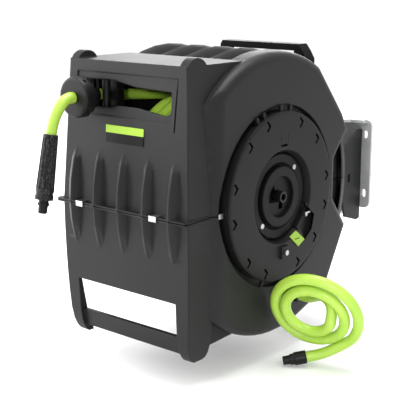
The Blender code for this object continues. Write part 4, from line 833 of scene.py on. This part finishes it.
def pocket_outline():
    """The valve pocket's straight sides, closed by an arc along the hub's seat."""
    first, last = POCKET_ANGLES
    angles = [math.radians(first + i * (last - first) / 6) for i in range(6)]
    radius = HUB_SEAT_R + 0.0005
    return [*POCKET_SIDES, *((radius * math.cos(a), radius * math.sin(a)) for a in angles)]


def cover():
    """The round side cover, with its hub recess, pocket, latch and ring of arrow notches."""
    face, wall, out = COVER_FACE_X, COVER_WALL, COVER_FACE_X + 0.02
    piece = turned("side_cover", cover_profile(), COVER_STEPS)
    pocket = pocket_outline()
    shape(piece, "UNION", box_outline(LATCH_PLACE, *LATCH_SIZE), face - 0.002, face + 0.004)
    shape(piece, "UNION", grown(pocket, wall), POCKET_FLOOR_X - wall, face - wall / 2)
    for angle in map(math.radians, TAB_ANGLES):
        middle = (TAB_R * math.cos(angle), TAB_R * math.sin(angle))
        tab = box_outline(middle, *TAB_SIZE, angle - math.pi / 2)
        shape(piece, "UNION", tab, face - 0.0085, face - 0.0042)
    for angle in map(math.radians, CHEVRON_ANGLES):
        middle = Vector((math.cos(angle), math.sin(angle))) * CHEVRON_R
        arrow = [tuple(middle + Vector(corner)) for corner in CHEVRON]
        shape(piece, "DIFFERENCE", arrow, face - 0.0026, out)
    shape(piece, "DIFFERENCE", box_outline(SLOT_PLACE, *SLOT_SIZE), face - 0.0028, out)
    shape(piece, "DIFFERENCE", pocket, POCKET_FLOOR_X, out)
    for middle, across, up, deep in COVER_LINES:
        shape(piece, "DIFFERENCE", box_outline(middle, across, up), face - deep, out)
    change(piece, "DIFFERENCE", rod("tool", HUB_SEAT_R, HUB_SEAT_X, out, COVER_STEPS))
    settle(smooth(piece), NODE_BODIES["right_side_cover"], "charcoal_plastic", "right_side_cover")


def valve_handle():
    """The T-shaped end of the shut-off valve's stem."""
    floor = POCKET_FLOOR_X
    piece = rod("valve_handle", VALVE_R, floor + SEAT_GAP, floor + 0.0036, 24, VALVE_PLACE)
    bar = box_outline(VALVE_BAR_PLACE, *VALVE_BAR_SIZE, math.radians(4))
    shape(piece, "UNION", bar, floor + 0.003, floor + 0.006)
    settle(smooth(piece), NODE_BODIES["valve_stem"], NODE_SLOTS["valve_stem"], "valve_stem")


# Camera, light and floor


def stand(name, data, place, direction):
    """Puts a camera or a lamp at a place, looking along a direction."""
    viewer = bpy.data.objects.new(name, data)
    bpy.context.scene.collection.objects.link(viewer)
    viewer.location = place
    viewer.rotation_euler = Vector(direction).to_track_quat("-Z", "Y").to_euler()
    return viewer


def camera():
    data = bpy.data.cameras.new("camera")
    data.lens = CAMERA_LENS
    data.sensor_width = SENSOR_WIDTH
    data.clip_start, data.clip_end = 0.05, 20.0
    bpy.context.scene.camera = stand("camera", data, CAMERA_PLACE, CAMERA_AIM)


def softbox(name, place, width, height, watts):
    light = bpy.data.lights.new(name, "AREA")
    light.shape = "RECTANGLE"
    light.size, light.size_y = width, height
    light.energy = watts
    stand(name, light, place, Vector(SOFTBOX_AIM) - Vector(place))


def spot(name, place, aim, cone, watts):
    light = bpy.data.lights.new(name, "SPOT")
    light.spot_size, light.spot_blend = math.radians(cone), 0.5
    light.shadow_soft_size = 0.06
    light.energy = watts
    stand(name, light, place, Vector(aim) - Vector(place))


def studio():
    world = bpy.data.worlds.new("studio")
    bpy.context.scene.world = world
    world.use_nodes = True
    backdrop = world.node_tree.nodes["Background"]
    backdrop.inputs["Color"].default_value = (1.0, 1.0, 1.0, 1.0)
    backdrop.inputs["Strength"].default_value = BACKDROP_STRENGTH
    for name, values in SOFTBOXES.items():
        softbox(name, *values)
    for name, values in SPOTS.items():
        spot(name, *values)
    bpy.ops.mesh.primitive_plane_add(size=FLOOR_WIDTH, location=(0, 0, CAD_BOX[0].z - FLOOR_DROP))
    floor = bpy.context.active_object
    floor.name = "floor"
    paper = Paint("pale_floor", 0.6)
    tone = paper.noise(1.2, 2.0)
    paper.set("Base Color", paper.mix(tone, (0.86, 0.86, 0.86), (0.90, 0.90, 0.90)))
    floor.data.materials.append(paper.material)
    bpy.context.scene.view_settings.view_transform = "Standard"


# Nodes that a piece of its own stands for
REMODELLED = (
    "hose_winding",
    "hose_inner_layers",
    "hose_strand",
    "hose_tail",
    "lead_in_hose",
    "right_side_cover",
    "bend_restrictor",
    "valve_stem",
)

camera()
for node in frame["nodes"]:
    if node not in REMODELLED:
        dress(node, node + "_dressed", CASING_SMOOTH if "casing" in node else SMOOTH)
cover()
valve_handle()
winding()
strand()
stop_neck()
restrictor()
tail()
lead_in()
studio()
